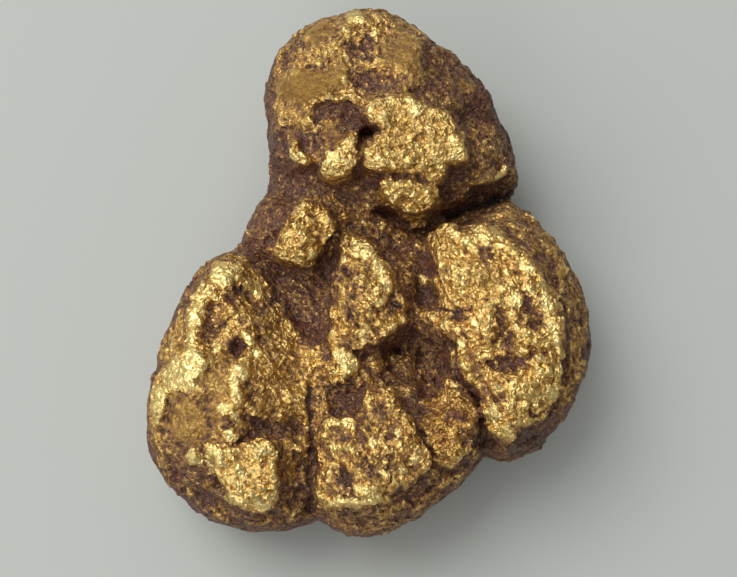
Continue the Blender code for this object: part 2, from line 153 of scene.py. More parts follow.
RIGHT_CORNER = [
    (5.0, 0.6), (5.4, 1.6), (6.4, 1.8), (7.2, 1.2), (7.6, 0.2), (7.4, -0.8), (7.9, -1.8), (7.8, -2.9),
    (7.0, -2.3), (6.0, -1.5), (5.2, -0.6)]
RIGHT_LOWER = [
    (8.9, -10.6), (10.6, -10.6), (12.3, -10.2), (14.3, -9.3), (14.8, -10.8), (14.2, -12.2), (13.2, -13.8),
    (12.2, -14.6), (10.8, -15.0), (9.4, -15.0), (8.9, -13.6), (9.0, -12.4)]
RIGHT_RIB = [
    (10.8, -5.2), (11.6, -5.0), (12.0, -6.6), (12.6, -7.8), (12.2, -8.8), (11.4, -8.4), (11.2, -7.0)]

# Outlines of foil (which gets a painted highlight), of smooth places, of the recess's edge and of the saddle
# at the waist
LEFT_FOIL = [
    (-14.2, -8.0), (-13.7, -7.8), (-13.4, -8.5), (-12.9, -9.3), (-12.6, -9.9), (-13.2, -10.4),
    (-13.6, -11.0), (-13.3, -11.5), (-13.9, -11.7), (-14.3, -11.7), (-15.3, -11.5), (-15.9, -10.9),
    (-16.2, -10.1), (-15.8, -9.5), (-15.2, -8.8), (-14.7, -9.3), (-14.3, -8.8)]
RIDGE_FOIL = [
    (0.2, -1.3), (0.6, -0.8), (1.0, -1.6), (1.3, -2.3), (1.7, -2.8), (1.7, -3.6), (1.3, -3.6), (0.8, -3.2),
    (0.4, -2.4)]
BOTTOM_RIM = [
    (-4.2, -20.1), (-3.6, -19.9), (-2.9, -19.9), (-2.2, -19.7), (-1.8, -19.9), (-1.3, -19.7), (-0.7, -19.9),
    (-0.1, -19.6), (0.6, -19.3), (0.8, -19.8), (0.0, -20.2), (-0.7, -20.5), (-1.2, -20.6), (-1.8, -20.2),
    (-2.4, -20.5), (-3.0, -20.4), (-3.6, -20.5), (-4.1, -20.5)]
RIGHT_TOP_FOIL = [
    (5.1, 1.7), (5.6, 1.8), (6.2, 1.7), (6.9, 1.4), (7.1, 0.9), (6.8, 0.5), (6.2, 0.9), (5.7, 1.2),
    (5.2, 1.3)]
RIGHT_ARC = [
    (4.9, 0.0), (5.2, 0.5), (5.2, -0.3), (5.3, -1.0), (5.8, -1.5), (6.4, -1.9), (7.0, -2.3), (7.4, -2.8),
    (7.6, -3.4), (7.3, -3.2), (6.8, -2.5), (6.2, -2.1), (5.5, -1.7), (5.1, -1.1)]
FLAKE_RIM = [
    (-6.6, 8.4), (-6.3, 8.2), (-6.1, 7.5), (-5.7, 7.0), (-5.1, 6.7), (-5.1, 6.5), (-5.8, 6.5), (-6.3, 7.2)]
LEFT_SMOOTH = [
    (-15.6, -12.1), (-13.9, -11.8), (-11.9, -12.5), (-11.3, -13.8), (-11.9, -15.4), (-13.0, -16.0),
    (-14.0, -16.1), (-15.1, -15.4), (-15.7, -14.2)]
LEFT_ORANGE = [
    (-13.0, -10.1), (-12.2, -9.6), (-11.3, -9.8), (-11.1, -10.7), (-11.2, -11.7), (-12.7, -11.8),
    (-13.3, -11.2)]
OLIVE_PATCH = [(6.6, 14.0), (7.6, 14.5), (8.9, 14.1), (8.5, 13.1), (7.2, 12.7)]
OCHRE_LUMP = [(-4.0, 10.0), (-3.4, 10.6), (-2.4, 10.3), (-2.0, 9.6), (-2.6, 8.9), (-3.7, 8.9)]
OLIVE_FACET = [(-3.9, -4.4), (-3.8, -3.4), (-3.3, -2.8), (-2.7, -3.6), (-2.8, -4.4)]
RIGHT_SMOOTH = [(8.3, -2.1), (9.5, -1.8), (10.7, -2.8), (10.2, -3.6), (9.1, -3.4), (8.2, -2.8)]
RIGHT_BUTTER = [(11.1, -11.7), (12.1, -11.4), (12.8, -12.0), (12.3, -12.6), (11.4, -12.6)]
BOTTOM_SMOOTH = [(0.0, -13.2), (0.9, -13.4), (0.8, -14.5), (0.2, -15.1), (-0.2, -14.2)]
RIGHT_STRIP = [
    (12.5, -1.3), (13.1, -2.3), (13.7, -3.7), (14.0, -5.3), (14.2, -7.2), (14.2, -8.8), (14.7, -8.8),
    (15.0, -7.7), (14.9, -5.8), (14.3, -3.7), (13.6, -2.1)]
RECESS_EDGE = [(0.0, -6.6), (1.6, -7.2), (2.8, -7.2), (3.3, -8.6), (2.2, -9.8), (0.6, -9.6)]
SADDLE = [(-3.8, 2.8), (-2.0, 2.8), (-1.4, 1.2), (-2.0, -0.3), (-3.0, -0.1), (-3.8, 1.2)]

# Each plate's outline, height, roughness and share of bare gold
PLATES = [
    (BIG_PLATE, 0.45, 1.0, 1.0), (TONGUE, 0.5, 0.9, 1.0), (SMALL_LEFT_PLATE, 0.4, 1.0, 1.02),
    (FLAKE, 0.35, 0.9, 0.85), (OCHRE_PATCH, 0.15, 0.3, 0.86), (UPPER_OCHRE, 0.1, 0.3, 0.84),
    (RIGHT_OCHRE, 0.1, 0.4, 0.72), (TOP_BAND, 0.15, 0.8, 0.8), (SHOULDER_PLATE, 0.35, 1.0, 0.86),
    (RIDGE_PLATE, 0.22, 0.9, 0.8), (LEFT_CREST, 0.1, 0.8, 0.94), (LEFT_MIDDLE, 0.1, 0.3, 0.66),
    (LEFT_FLAKES, 0.2, 0.7, 0.85), (PIT_FLAKE, 0.2, 0.7, 0.85), (LEFT_BOTTOM_PLATE, 0.3, 0.5, 1.0),
    (LEFT_SMALL_LEDGE, 0.2, 0.6, 0.85), (INNER_LEDGE, 0.2, 0.7, 0.72), (BOTTOM_PLATE, 0.22, 0.9, 0.74),
    (ORANGE_LUMP, 0.35, 0.5, 0.94), (RIGHT_FIELD, 0.2, 0.8, 0.92), (RIGHT_CORNER, 0.35, 0.9, 0.98),
    (RIGHT_LOWER, 0.25, 0.8, 1.0), (RIGHT_RIB, 0.3, 0.8, 0.9), (OLIVE_FACET, 0.2, 0.2, 0.7)]

# Clean foil that glints, painted a paler mottled gold as a highlight: outlines, and small flakes as centre,
# half length, half width and turn in degrees
FOIL = [(LEFT_FOIL,), (RIDGE_FOIL,), (BOTTOM_RIM,), (RIGHT_TOP_FOIL,), (RIGHT_ARC,), (FLAKE_RIM,)]
GLINTS = [
    ((-12.9, -3.9), 1.03, 0.29, 42), ((-11.5, -2.3), 1.11, 0.80, -7),
    ((-13.5, -5.5), 1.03, 0.58, 69), ((-13.9, -7.3), 0.52, 0.29, -78),
    ((-16.3, -12.6), 1.50, 0.64, 90), ((-10.1, -10.2), 0.97, 0.82, 33),
    ((-10.4, -11.7), 0.78, 0.42, -65), ((-13.3, -16.7), 0.70, 0.54, -33),
    ((-11.8, -16.8), 1.01, 0.69, 88), ((-9.8, -17.7), 0.73, 0.33, -69),
    ((-10.3, -19.9), 0.82, 0.36, -15), ((-8.3, -20.3), 0.66, 0.47, -50),
    ((-11.9, -8.2), 0.39, 0.25, -78), ((-12.3, -9.1), 0.42, 0.26, -78),
    ((-9.0, -3.4), 0.92, 0.45, -51), ((-9.4, -7.4), 0.61, 0.39, -60),
    ((-8.9, -8.7), 0.43, 0.35, -45), ((-11.3, -13.0), 0.46, 0.42, -6),
    ((-10.8, -15.0), 0.44, 0.34, -61), ((-10.3, -13.6), 0.53, 0.28, -52),
    ((-6.8, -1.2), 0.76, 0.41, -24), ((-5.7, -1.0), 0.43, 0.34, 73),
    ((-4.6, -1.1), 0.76, 0.32, 90), ((-0.6, -0.2), 0.94, 0.81, 6), ((0.8, -4.5), 0.56, 0.32, 18),
    ((-1.9, -9.2), 1.13, 0.49, -52), ((-2.9, -7.2), 0.41, 0.24, 84),
    ((-1.8, -10.4), 0.30, 0.25, 8), ((-0.5, -7.2), 0.59, 0.28, -85),
    ((2.4, -6.0), 0.35, 0.26, -87), ((-0.4, -19.2), 0.80, 0.32, -3),
    ((-2.5, -14.0), 0.36, 0.24, -81), ((-1.6, -14.1), 0.51, 0.39, -19),
    ((2.0, -14.9), 0.48, 0.23, -83), ((2.6, -13.7), 0.54, 0.18, -79),
    ((3.4, -16.9), 0.38, 0.37, 39), ((2.5, -17.8), 0.36, 0.26, -18),
    ((1.0, -17.8), 0.42, 0.21, -43), ((-2.3, -16.0), 1.09, 0.22, -2),
    ((0.2, -15.5), 0.41, 0.30, -71), ((7.9, 0.1), 0.95, 0.32, -49), ((8.8, 0.9), 1.09, 0.42, -47),
    ((10.0, 1.2), 0.76, 0.19, -50), ((10.8, -2.3), 0.32, 0.22, -42),
    ((11.5, -4.3), 0.73, 0.41, -87), ((12.4, -1.8), 0.79, 0.31, -41),
    ((12.7, -3.7), 0.46, 0.23, -38), ((13.9, -4.7), 1.17, 0.37, -81),
    ((8.2, -6.4), 0.46, 0.21, -78), ((9.4, -5.7), 0.33, 0.21, -87),
    ((11.5, -6.7), 0.44, 0.29, -67), ((14.0, -6.4), 0.59, 0.21, -79),
    ((7.1, -7.9), 0.52, 0.38, 82), ((11.9, -8.7), 0.48, 0.30, -2), ((14.6, -7.5), 1.40, 0.24, -81),
    ((14.0, -11.7), 0.60, 0.43, 57), ((9.4, -13.4), 0.77, 0.44, 88),
    ((10.6, -14.7), 0.61, 0.33, -65), ((12.0, -11.0), 0.32, 0.20, -88),
    ((4.3, -2.8), 0.68, 0.29, -46), ((6.0, -12.3), 0.59, 0.33, 5), ((1.5, 12.6), 0.37, 0.33, 46),
    ((3.3, 12.3), 0.50, 0.24, -46), ((-0.1, 11.6), 0.44, 0.25, -88), ((-2.9, 5.8), 1.34, 0.45, -9),
    ((-2.9, 7.5), 0.58, 0.48, -70), ((0.9, 7.2), 0.42, 0.32, -37), ((4.2, 6.6), 0.43, 0.24, -50),
    ((5.5, 6.8), 0.87, 0.22, -75), ((3.7, 11.6), 0.52, 0.38, -82), ((6.8, 8.9), 0.56, 0.31, -71),
    ((7.0, 7.5), 0.74, 0.57, 77), ((1.6, 4.0), 0.80, 0.38, -28), ((3.3, 2.7), 0.76, 0.27, -40),
    ((4.7, 3.8), 0.39, 0.28, 82), ((-1.9, 14.1), 0.43, 0.25, -65), ((0.3, 18.2), 0.31, 0.29, 90),
    ((10.5, 6.1), 0.87, 0.22, 61), ((-1.3, 19.8), 0.80, 0.57, -13)]

# Places where the gold is matt and hardly crumpled: outline, how much so, share of bare gold
SMOOTH_PATCHES = [
    (OCHRE_PATCH, 1.0, 0.84), (UPPER_OCHRE, 0.9, 0.82), (RIGHT_OCHRE, 0.8, 0.7), (LEFT_MIDDLE, 0.6, 0.66),
    (LEFT_SMOOTH, 0.75, 0.66), (LEFT_ORANGE, 0.7, 0.84), (OLIVE_PATCH, 0.8, 0.66), (OCHRE_LUMP, 0.9, 0.8),
    (OLIVE_FACET, 0.8, 0.66), (RIGHT_SMOOTH, 0.6, 0.8), (RIGHT_BUTTER, 0.5, 0.95), (BOTTOM_SMOOTH, 0.5, 0.7),
    (SADDLE, 0.1, 0.78), (BIG_PLATE, 0.3, 1.0), (TONGUE, 0.2, 1.0), (RIGHT_STRIP, 0.6, 0.72),
    (RECESS_EDGE, 0.0, 0.64)]

# Oxide stains on the gold, hardly sunken: outline, share of bare gold left, how red they are
STAINS = [
    ([(-8.7, 10.1), (-7.3, 10.1), (-6.4, 8.8), (-6.6, 6.7), (-7.9, 5.9), (-8.7, 6.4)], -0.10, 0.3),
    ([(9.3, 12.4), (10.6, 11.4), (11.2, 8.9), (10.5, 8.1), (9.6, 9.3), (9.0, 11.0)], 0.16, 0.7),
    ([(5.4, 9.6), (6.0, 10.0), (6.5, 9.3), (6.3, 8.3), (5.7, 8.1)], 0.30, 0.3),
    ([(7.6, 15.9), (8.6, 15.0), (8.2, 14.1), (7.2, 14.9)], 0.14, 0.8),
    ([(-8.8, 11.4), (-7.6, 11.0), (-7.1, 8.9), (-6.9, 6.8), (-7.5, 4.9), (-8.5, 5.0),
      (-8.9, 8.1)], 0.12, 0.3),
    ([(5.0, 18.6), (6.0, 18.2), (7.3, 17.1), (9.0, 14.9), (10.3, 12.6), (11.2, 9.8), (11.6, 7.2),
      (10.8, 7.1), (9.6, 9.3), (8.2, 12.0), (6.7, 14.3), (5.1, 16.3)], -0.10, 0.9),
    ([(6.5, -6.6), (7.7, -7.4), (8.6, -9.2), (9.3, -10.9), (9.6, -12.1), (9.0, -12.3), (8.0, -10.7),
      (7.0, -8.8), (6.2, -7.6)], 0.48, 0.3),
    ([(9.3, -11.8), (10.0, -11.6), (10.7, -12.0), (10.6, -12.8), (10.0, -13.2),
      (9.3, -12.8)], 0.42, 0.2),
    ([(0.0, -16.8), (1.1, -16.6), (1.7, -17.2), (1.4, -18.3), (0.5, -18.6), (-0.1, -17.8)], 0.42, 0.3),
    ([(-2.2, -1.9), (-1.4, -1.8), (-0.8, -2.3), (-0.9, -3.4), (-1.7, -3.7), (-2.3, -3.1)], 0.42, 0.3),
    ([(-0.1, 16.8), (1.2, 17.0), (2.2, 16.4), (1.8, 15.2), (0.5, 14.9), (-0.3, 15.6)], 0.50, 0.2),
    ([(-2.3, -19.9), (0.2, -20.8), (2.7, -20.8), (5.3, -19.8), (7.6, -17.7), (8.4, -18.3), (6.1, -20.8),
      (2.6, -22.3), (-0.7, -22.3), (-3.4, -21.4)], 0.34, 0.9),
    ([(-11.1, -4.1), (-10.7, -3.6), (-10.1, -3.7), (-10.2, -4.4), (-10.7, -4.6)], 0.15, 0.3),
    ([(-12.8, -5.7), (-12.3, -5.6), (-11.7, -5.9), (-12.0, -6.6), (-11.8, -7.4), (-12.4, -7.8),
      (-12.7, -7.3), (-12.5, -6.6)], 0.50, 0.6),
    ([(-10.0, -10.9), (-9.1, -10.7), (-8.3, -11.1), (-8.3, -12.1), (-8.9, -12.7), (-9.6, -12.6),
      (-10.0, -11.8)], 0.52, 0.1),
    ([(-8.8, -13.7), (-7.5, -13.5), (-7.6, -14.6), (-6.6, -14.6), (-6.6, -15.5), (-7.5, -15.4),
      (-8.6, -14.8)], 0.26, 0.0),
    ([(-16.1, -14.5), (-15.5, -14.6), (-14.8, -15.4), (-14.6, -16.0), (-15.3, -15.7),
      (-15.8, -15.1)], 0.28, 0.4),
    ([(-15.7, -17.7), (-14.8, -17.4), (-14.0, -18.0), (-14.5, -18.9), (-15.3, -18.6)], 0.20, 1.0),
    ([(-13.4, -19.2), (-12.5, -19.0), (-11.6, -19.6), (-11.6, -20.3), (-12.6, -20.5),
      (-13.3, -19.9)], 0.00, 0.0),
    ([(-14.6, -17.1), (-13.7, -17.5), (-12.5, -17.5), (-12.0, -18.1), (-12.9, -18.6), (-13.8, -18.1),
      (-14.4, -17.7)], 0.18, 0.5),
    ([(-13.2, -12.1), (-12.5, -12.0), (-12.0, -12.6), (-12.4, -13.2), (-13.1, -12.9)], 0.32, 0.2),
    ([(-7.6, -2.8), (-7.1, -3.1), (-7.2, -4.2), (-7.7, -4.7), (-8.0, -4.1)], 0.20, 0.3),
    ([(-8.5, -4.4), (-7.8, -4.9), (-8.0, -6.0), (-8.4, -5.7)], 0.38, 0.4),
    ([(-9.1, -4.8), (-8.4, -5.3), (-8.1, -6.6), (-8.7, -6.9), (-9.2, -5.8)], 0.42, 0.4),
    ([(-6.7, -16.1), (-5.9, -16.5), (-5.3, -17.7), (-5.6, -18.8), (-6.5, -18.4),
      (-6.8, -17.3)], 0.58, 0.3),
    ([(-11.1, -13.8), (-10.6, -14.2), (-10.7, -14.6), (-11.3, -14.4)], 0.20, 0.4),
    ([(-9.9, -14.5), (-9.2, -14.6), (-8.7, -15.1), (-9.5, -15.5), (-10.1, -15.2)], 0.22, 0.6),
    ([(-11.5, -7.6), (-10.9, -7.4), (-10.6, -8.1), (-11.2, -8.5)], 0.40, 0.3),
    ([(-6.4, -20.1), (-5.3, -19.3), (-4.7, -19.9), (-5.3, -20.8), (-6.4, -20.8)], 0.15, 0.2),
    ([(-3.0, -14.8), (-2.1, -14.6), (-1.4, -14.9), (-1.5, -15.5), (-2.4, -15.7),
      (-3.0, -15.4)], 0.34, 0.0),
    ([(-2.3, -18.3), (-1.8, -17.7), (-1.2, -18.0), (-1.0, -18.9), (-1.5, -19.8), (-2.1, -19.6),
      (-2.4, -19.0)], 0.10, 0.1),
    ([(-1.1, -16.8), (-0.4, -16.5), (0.0, -16.9), (-0.4, -17.4), (-0.9, -17.2)], 0.22, 0.6),
    ([(-0.3, -17.2), (0.5, -17.4), (0.8, -18.0), (0.2, -18.0), (-0.3, -17.7)], 0.20, 0.4),
    ([(0.3, -12.7), (1.1, -12.6), (1.1, -13.2), (0.5, -13.3)], 0.22, 0.3),
    ([(-0.8, -12.3), (-0.4, -12.5), (-0.3, -14.2), (-0.4, -16.1), (-0.7, -16.1),
      (-0.8, -14.2)], 0.28, 0.2),
    ([(1.2, -14.5), (1.7, -14.2), (2.0, -14.6), (1.4, -15.1)], 0.34, 0.3),
    ([(2.9, -12.3), (4.0, -12.0), (4.2, -13.1), (3.8, -14.6), (3.2, -14.2), (2.9, -13.2)], 0.15, 0.2),
    ([(3.8, -17.7), (4.6, -17.1), (4.9, -17.4), (4.1, -18.4), (3.2, -19.2), (2.9, -18.9)], 0.15, 0.4),
    ([(2.3, -19.3), (3.8, -18.4), (4.6, -19.2), (3.0, -20.3), (1.9, -20.5)], 0.20, 0.9),
    ([(6.0, -13.2), (6.8, -13.1), (7.1, -13.7), (6.5, -14.0), (6.0, -13.7)], 0.12, 1.0),
    ([(4.3, -12.5), (4.9, -13.1), (4.8, -13.8), (4.4, -13.5)], 0.30, 0.9),
    ([(7.1, -14.6), (7.7, -15.1), (7.5, -15.8), (6.9, -15.5)], 0.20, 0.5),
    ([(8.6, -0.1), (9.7, 0.0), (9.8, -1.0), (9.2, -1.5), (8.6, -1.3)], 0.32, 0.4),
    ([(6.8, -5.3), (7.5, -5.5), (7.7, -6.0), (7.1, -6.1), (6.6, -5.8)], 0.15, 0.3),
    ([(12.0, -4.1), (12.6, -4.1), (12.9, -4.9), (12.5, -5.8), (12.1, -5.7)], 0.10, 0.4),
    ([(12.2, -5.6), (13.2, -5.8), (13.6, -6.5), (13.0, -6.9), (12.2, -6.4)], 0.34, 0.4),
    ([(11.4, 0.5), (12.4, 0.9), (12.7, 0.0), (11.9, -0.3)], 0.28, 0.8),
    ([(12.9, -0.1), (13.9, -0.6), (14.7, -1.5), (14.2, -2.1), (13.5, -1.5)], 0.26, 0.8),
    ([(11.5, -14.7), (12.6, -14.5), (13.9, -14.9), (13.4, -16.1), (11.6, -16.6),
      (10.5, -16.2)], -0.10, 0.0),
    ([(8.4, -14.6), (9.2, -14.8), (10.0, -15.4), (9.6, -15.8), (8.7, -15.7)], 0.15, 0.2),
    ([(6.6, -10.7), (7.2, -11.2), (7.9, -11.8), (8.3, -12.3), (8.0, -12.8), (7.3, -12.3),
      (6.7, -11.4)], 0.10, 0.0),
    ([(5.5, -1.9), (4.8, -1.3), (4.0, -1.0), (3.8, -1.9), (4.6, -2.4), (5.2, -2.6)], 0.10, 0.6),
    ([(4.7, -3.6), (3.8, -3.4), (3.2, -4.1), (3.5, -4.9), (4.6, -4.7), (5.2, -4.4)], 0.12, 0.0),
    ([(13.5, -12.7), (14.3, -12.5), (14.6, -13.4), (13.8, -13.8), (13.2, -13.2)], 0.15, 1.0),
    ([(10.5, -9.2), (11.5, -8.8), (12.4, -9.3), (12.3, -9.8), (11.3, -9.6)], 0.20, 0.1),
    ([(-1.9, -4.0), (-1.1, -3.8), (-0.8, -4.8), (-0.9, -5.8), (-1.5, -6.0), (-2.0, -5.0)], 0.25, 0.1),
    ([(-4.3, -1.9), (-3.5, -1.0), (-2.4, -1.3), (-2.0, -2.1), (-2.7, -2.9), (-3.9, -2.8)], 0.00, 0.0),
    ([(-5.7, -4.4), (-4.7, -4.2), (-4.5, -5.6), (-5.1, -6.1), (-5.8, -5.6)], 0.32, 0.0),
    ([(-5.5, -6.0), (-4.0, -6.4), (-3.7, -7.6), (-4.3, -8.2), (-5.2, -7.6)], 0.12, 0.7),
    ([(-1.5, -7.2), (-1.1, -7.6), (-1.4, -8.4), (-1.9, -8.0)], 0.22, 0.3),
    ([(1.2, -1.1), (2.4, -1.3), (3.3, -1.0), (3.2, -2.3), (2.1, -2.9), (1.4, -2.1)], 0.32, 0.8),
    ([(1.2, -4.8), (1.7, -4.1), (2.2, -4.4), (1.7, -5.2)], 0.15, 0.8),
    ([(-1.1, -2.9), (-0.3, -2.8), (0.0, -3.4), (-0.5, -4.1), (-0.9, -3.7)], 0.46, 0.2),
    ([(-2.0, 17.2), (-0.6, 17.7), (0.4, 17.5), (0.5, 16.3), (-0.6, 15.7), (-1.6, 16.4)], 0.30, 0.1),
    ([(-2.0, 11.4), (-1.0, 11.7), (-0.6, 10.5), (-1.4, 9.8), (-2.1, 10.3)], 0.00, 0.3),
    ([(-5.7, 9.8), (-4.7, 9.4), (-4.5, 8.1), (-5.3, 7.9), (-5.8, 8.8)], 0.20, 0.2),
    ([(-6.7, 17.5), (-5.9, 17.9), (-5.6, 16.8), (-6.4, 16.4)], 0.30, 0.9),
    ([(-7.4, 15.9), (-7.0, 16.8), (-6.4, 15.9), (-7.0, 15.0)], 0.25, 1.0),
    ([(4.5, 17.7), (5.8, 18.0), (7.8, 16.8), (9.0, 15.0), (8.2, 14.1), (6.6, 14.6), (6.1, 12.8),
      (4.9, 12.4), (4.3, 14.1)], 0.26, 0.9),
    ([(7.5, 10.2), (9.8, 10.5), (10.9, 8.9), (10.7, 6.8), (9.7, 5.5), (8.0, 5.1), (7.3, 6.4),
      (7.9, 8.1)], 0.40, 0.5),
    ([(5.6, 5.5), (7.3, 6.2), (9.6, 5.1), (8.8, 4.3), (7.2, 3.4), (5.6, 3.4)], 0.22, 0.2),
    ([(-8.7, 8.9), (-7.9, 9.4), (-7.2, 8.1), (-7.6, 6.8), (-8.7, 6.8)], 0.00, 0.0)]

# Sunken places filled with brown oxide: outline and depth
HOLLOWS = [
    ([(-4.4, 10.2), (-4.3, 11.2), (-3.9, 12.0), (-2.9, 12.2), (-1.9, 11.9), (-0.9, 11.6), (-0.7, 10.8),
      (-0.2, 10.2), (0.7, 10.0), (0.5, 9.3), (0.1, 8.8), (-0.4, 8.6), (-0.6, 7.6), (-0.9, 7.0),
      (-1.0, 8.2), (-0.9, 9.4), (-1.6, 9.8), (-2.4, 9.5), (-3.0, 9.0), (-3.9, 9.2), (-4.7, 8.6),
      (-5.0, 9.4)], 0.5),
    ([(-1.4, 14.4), (-1.0, 15.0), (0.4, 14.9), (1.8, 14.8), (2.8, 14.6), (2.6, 13.6), (1.8, 13.0),
      (1.0, 12.9), (0.2, 13.0), (-0.6, 13.0), (-1.0, 13.6)], 0.4),
    ([(-1.8, 16.4), (-1.2, 17.4), (-0.2, 17.8), (0.8, 17.2), (0.8, 16.2), (-0.4, 15.8), (-1.4, 15.9)], 0.25),
    ([(6.8, 10.4), (7.0, 11.6), (8.2, 12.0), (9.0, 11.4), (9.2, 10.4), (8.4, 9.9), (7.6, 9.8)], 0.4),
    ([(-8.4, 7.2), (-7.4, 7.4), (-6.8, 7.2), (-6.2, 6.4), (-5.2, 5.9), (-4.4, 5.6), (-3.6, 5.0),
      (-2.6, 4.9), (-1.4, 5.4), (-0.6, 6.0), (0.2, 5.2), (0.8, 4.2), (0.6, 3.4), (1.8, 2.6), (3.2, 1.8),
      (3.0, 1.6), (1.0, 2.2), (-1.0, 3.2), (-2.4, 4.0), (-3.6, 4.6), (-5.6, 4.4), (-7.4, 3.9),
      (-8.8, 4.4)], 0.5),
    ([(6.0, 6.4), (6.8, 6.6), (7.6, 6.7), (8.4, 7.2), (9.0, 6.4), (9.6, 5.2), (9.0, 4.2), (7.4, 3.2),
      (5.8, 3.0), (5.6, 3.8), (5.8, 4.8)], 0.35),
    ([(-9.2, -0.6), (-8.2, -0.8), (-7.6, -1.4), (-6.2, -1.8), (-4.8, -2.1), (-4.0, -1.6), (-3.2, -0.6),
      (-2.4, -0.8), (-2.8, -2.4), (-2.7, -4.2), (-3.1, -5.6), (-3.2, -7.6), (-4.0, -8.0), (-5.2, -7.4),
      (-6.2, -6.2), (-7.0, -4.8), (-7.6, -3.6), (-8.6, -2.6), (-9.3, -1.6)], 0.6),
    ([(0.4, -8.4), (1.4, -7.5), (2.6, -6.8), (3.6, -6.6), (4.6, -7.0), (5.6, -7.3), (6.4, -8.2),
      (6.5, -9.4), (6.9, -10.3), (6.2, -10.9), (5.0, -11.3), (4.0, -12.2), (3.0, -12.0), (2.2, -11.2),
      (1.2, -10.6), (0.4, -9.6)], 0.8),
    ([(-3.5, -11.4), (-2.6, -11.1), (-1.4, -11.1), (-0.6, -11.6), (-0.5, -12.6), (-0.8, -13.6),
      (-2.2, -13.5), (-3.4, -13.3)], 0.4),
    ([(3.2, -1.0), (3.8, -0.4), (4.7, -0.4), (5.1, -1.4), (4.6, -2.4), (4.9, -3.4), (5.3, -4.4),
      (4.6, -5.2), (3.6, -5.0), (3.0, -3.8), (3.2, -2.4)], 0.5),
    ([(0.4, 1.6), (2.2, 1.4), (4.4, 1.6), (4.6, 0.2), (3.4, -0.8), (2.6, -2.2), (1.8, -1.8),
      (0.8, -0.4)], 0.3),
    ([(-9.2, -13.6), (-8.0, -13.5), (-6.6, -14.0), (-5.4, -14.2), (-4.8, -15.2), (-6.2, -15.2),
      (-7.4, -15.1), (-8.6, -15.0)], 0.4),
    ([(9.9, -5.3), (10.5, -5.3), (11.0, -6.4), (11.2, -7.6), (11.3, -8.8), (12.3, -9.0), (12.0, -9.8),
      (11.2, -10.3), (10.0, -10.2), (9.6, -9.4), (10.0, -8.4), (10.0, -6.8)], 0.5),
    ([(12.0, -3.9), (12.5, -3.9), (12.6, -4.9), (13.4, -5.4), (13.6, -6.4), (13.0, -6.8), (12.4, -6.4),
      (12.1, -5.4)], 0.4),
    ([(-13.8, -19.2), (-12.8, -19.0), (-11.6, -19.5), (-11.0, -20.2), (-11.8, -20.7), (-13.0, -20.3)], 0.3),
    ([(11.0, -15.2), (11.8, -14.4), (13.2, -14.1), (14.2, -13.9), (14.0, -14.8), (13.0, -15.6),
      (11.6, -16.2)], 0.3),
    ([(-13.2, -5.8), (-12.4, -5.4), (-11.6, -6.2), (-12.0, -7.2), (-12.6, -7.8), (-13.2, -7.0)], 0.3),
    ([(-11.4, -3.4), (-10.2, -3.2), (-9.6, -4.0), (-10.6, -4.6), (-11.4, -4.4)], 0.2),
    ([(-6.8, -16.8), (-5.4, -16.6), (-4.6, -17.4), (-4.2, -19.0), (-4.4, -20.6), (-5.8, -20.6),
      (-6.8, -19.4), (-6.6, -18.0)], 0.35),
    ([(-16.2, -14.4), (-15.2, -14.8), (-14.2, -16.0), (-13.8, -17.2), (-14.8, -17.0), (-15.8, -15.8)], 0.15),
    ([(-14.6, -17.4), (-12.8, -17.6), (-11.8, -18.2), (-12.2, -19.0), (-13.6, -18.8), (-14.8, -18.4)], 0.15)]

# Places that stand higher than in the solid: outline and height
FILLS = [
    (SADDLE, 0.45),
    ([(5.2, -6.5), (6.4, -7.4), (7.5, -9.0), (8.1, -10.7), (8.6, -12.6), (8.8, -14.2), (8.0, -14.9),
      (7.1, -14.2), (6.3, -12.5), (5.4, -10.6), (4.5, -8.4)], 0.8),
    ([(0.2, -6.1), (1.4, -5.7), (2.7, -6.0), (3.6, -6.9), (3.7, -8.4), (2.7, -8.8), (1.4, -8.5),
      (0.3, -7.7)], 0.7),
    ([(1.3, -1.3), (2.6, -0.8), (3.7, -1.3), (3.5, -3.1), (2.7, -4.4), (1.7, -4.1), (1.1, -2.8)], 0.4),
    ([(0.6, -8.2), (1.8, -7.4), (3.4, -6.9), (5.4, -7.4), (6.2, -8.8), (6.4, -10.2), (5.0, -11.0),
      (3.4, -11.8), (2.0, -11.0), (0.8, -9.8)], 0.7),
    ([(-10.9, -7.9), (-10.5, -7.5), (-9.8, -7.6), (-9.5, -8.2), (-9.8, -8.8), (-10.6, -8.8)], 0.4),
    ([(-7.4, 6.0), (-4.6, 4.8), (-1.4, 4.4), (0.2, 4.4), (-0.6, 3.2), (-3.0, 3.6), (-5.6, 4.6),
      (-7.6, 4.8)], 0.3),
    ([(0.0, 4.0), (0.8, 3.0), (2.2, 2.2), (3.6, 1.8), (3.4, 0.8), (1.4, 1.0), (-0.2, 1.8), (-0.8, 3.0)], 0.6),
    ([(8.2, 5.2), (9.6, 5.6), (11.2, 6.4), (12.0, 5.8), (11.6, 5.2), (9.8, 4.6)], 0.7),
    ([(-8.2, -1.8), (-5.4, -2.6), (-3.4, -1.6), (-3.2, -5.0), (-3.8, -7.2), (-6.2, -5.4)], 0.3)]
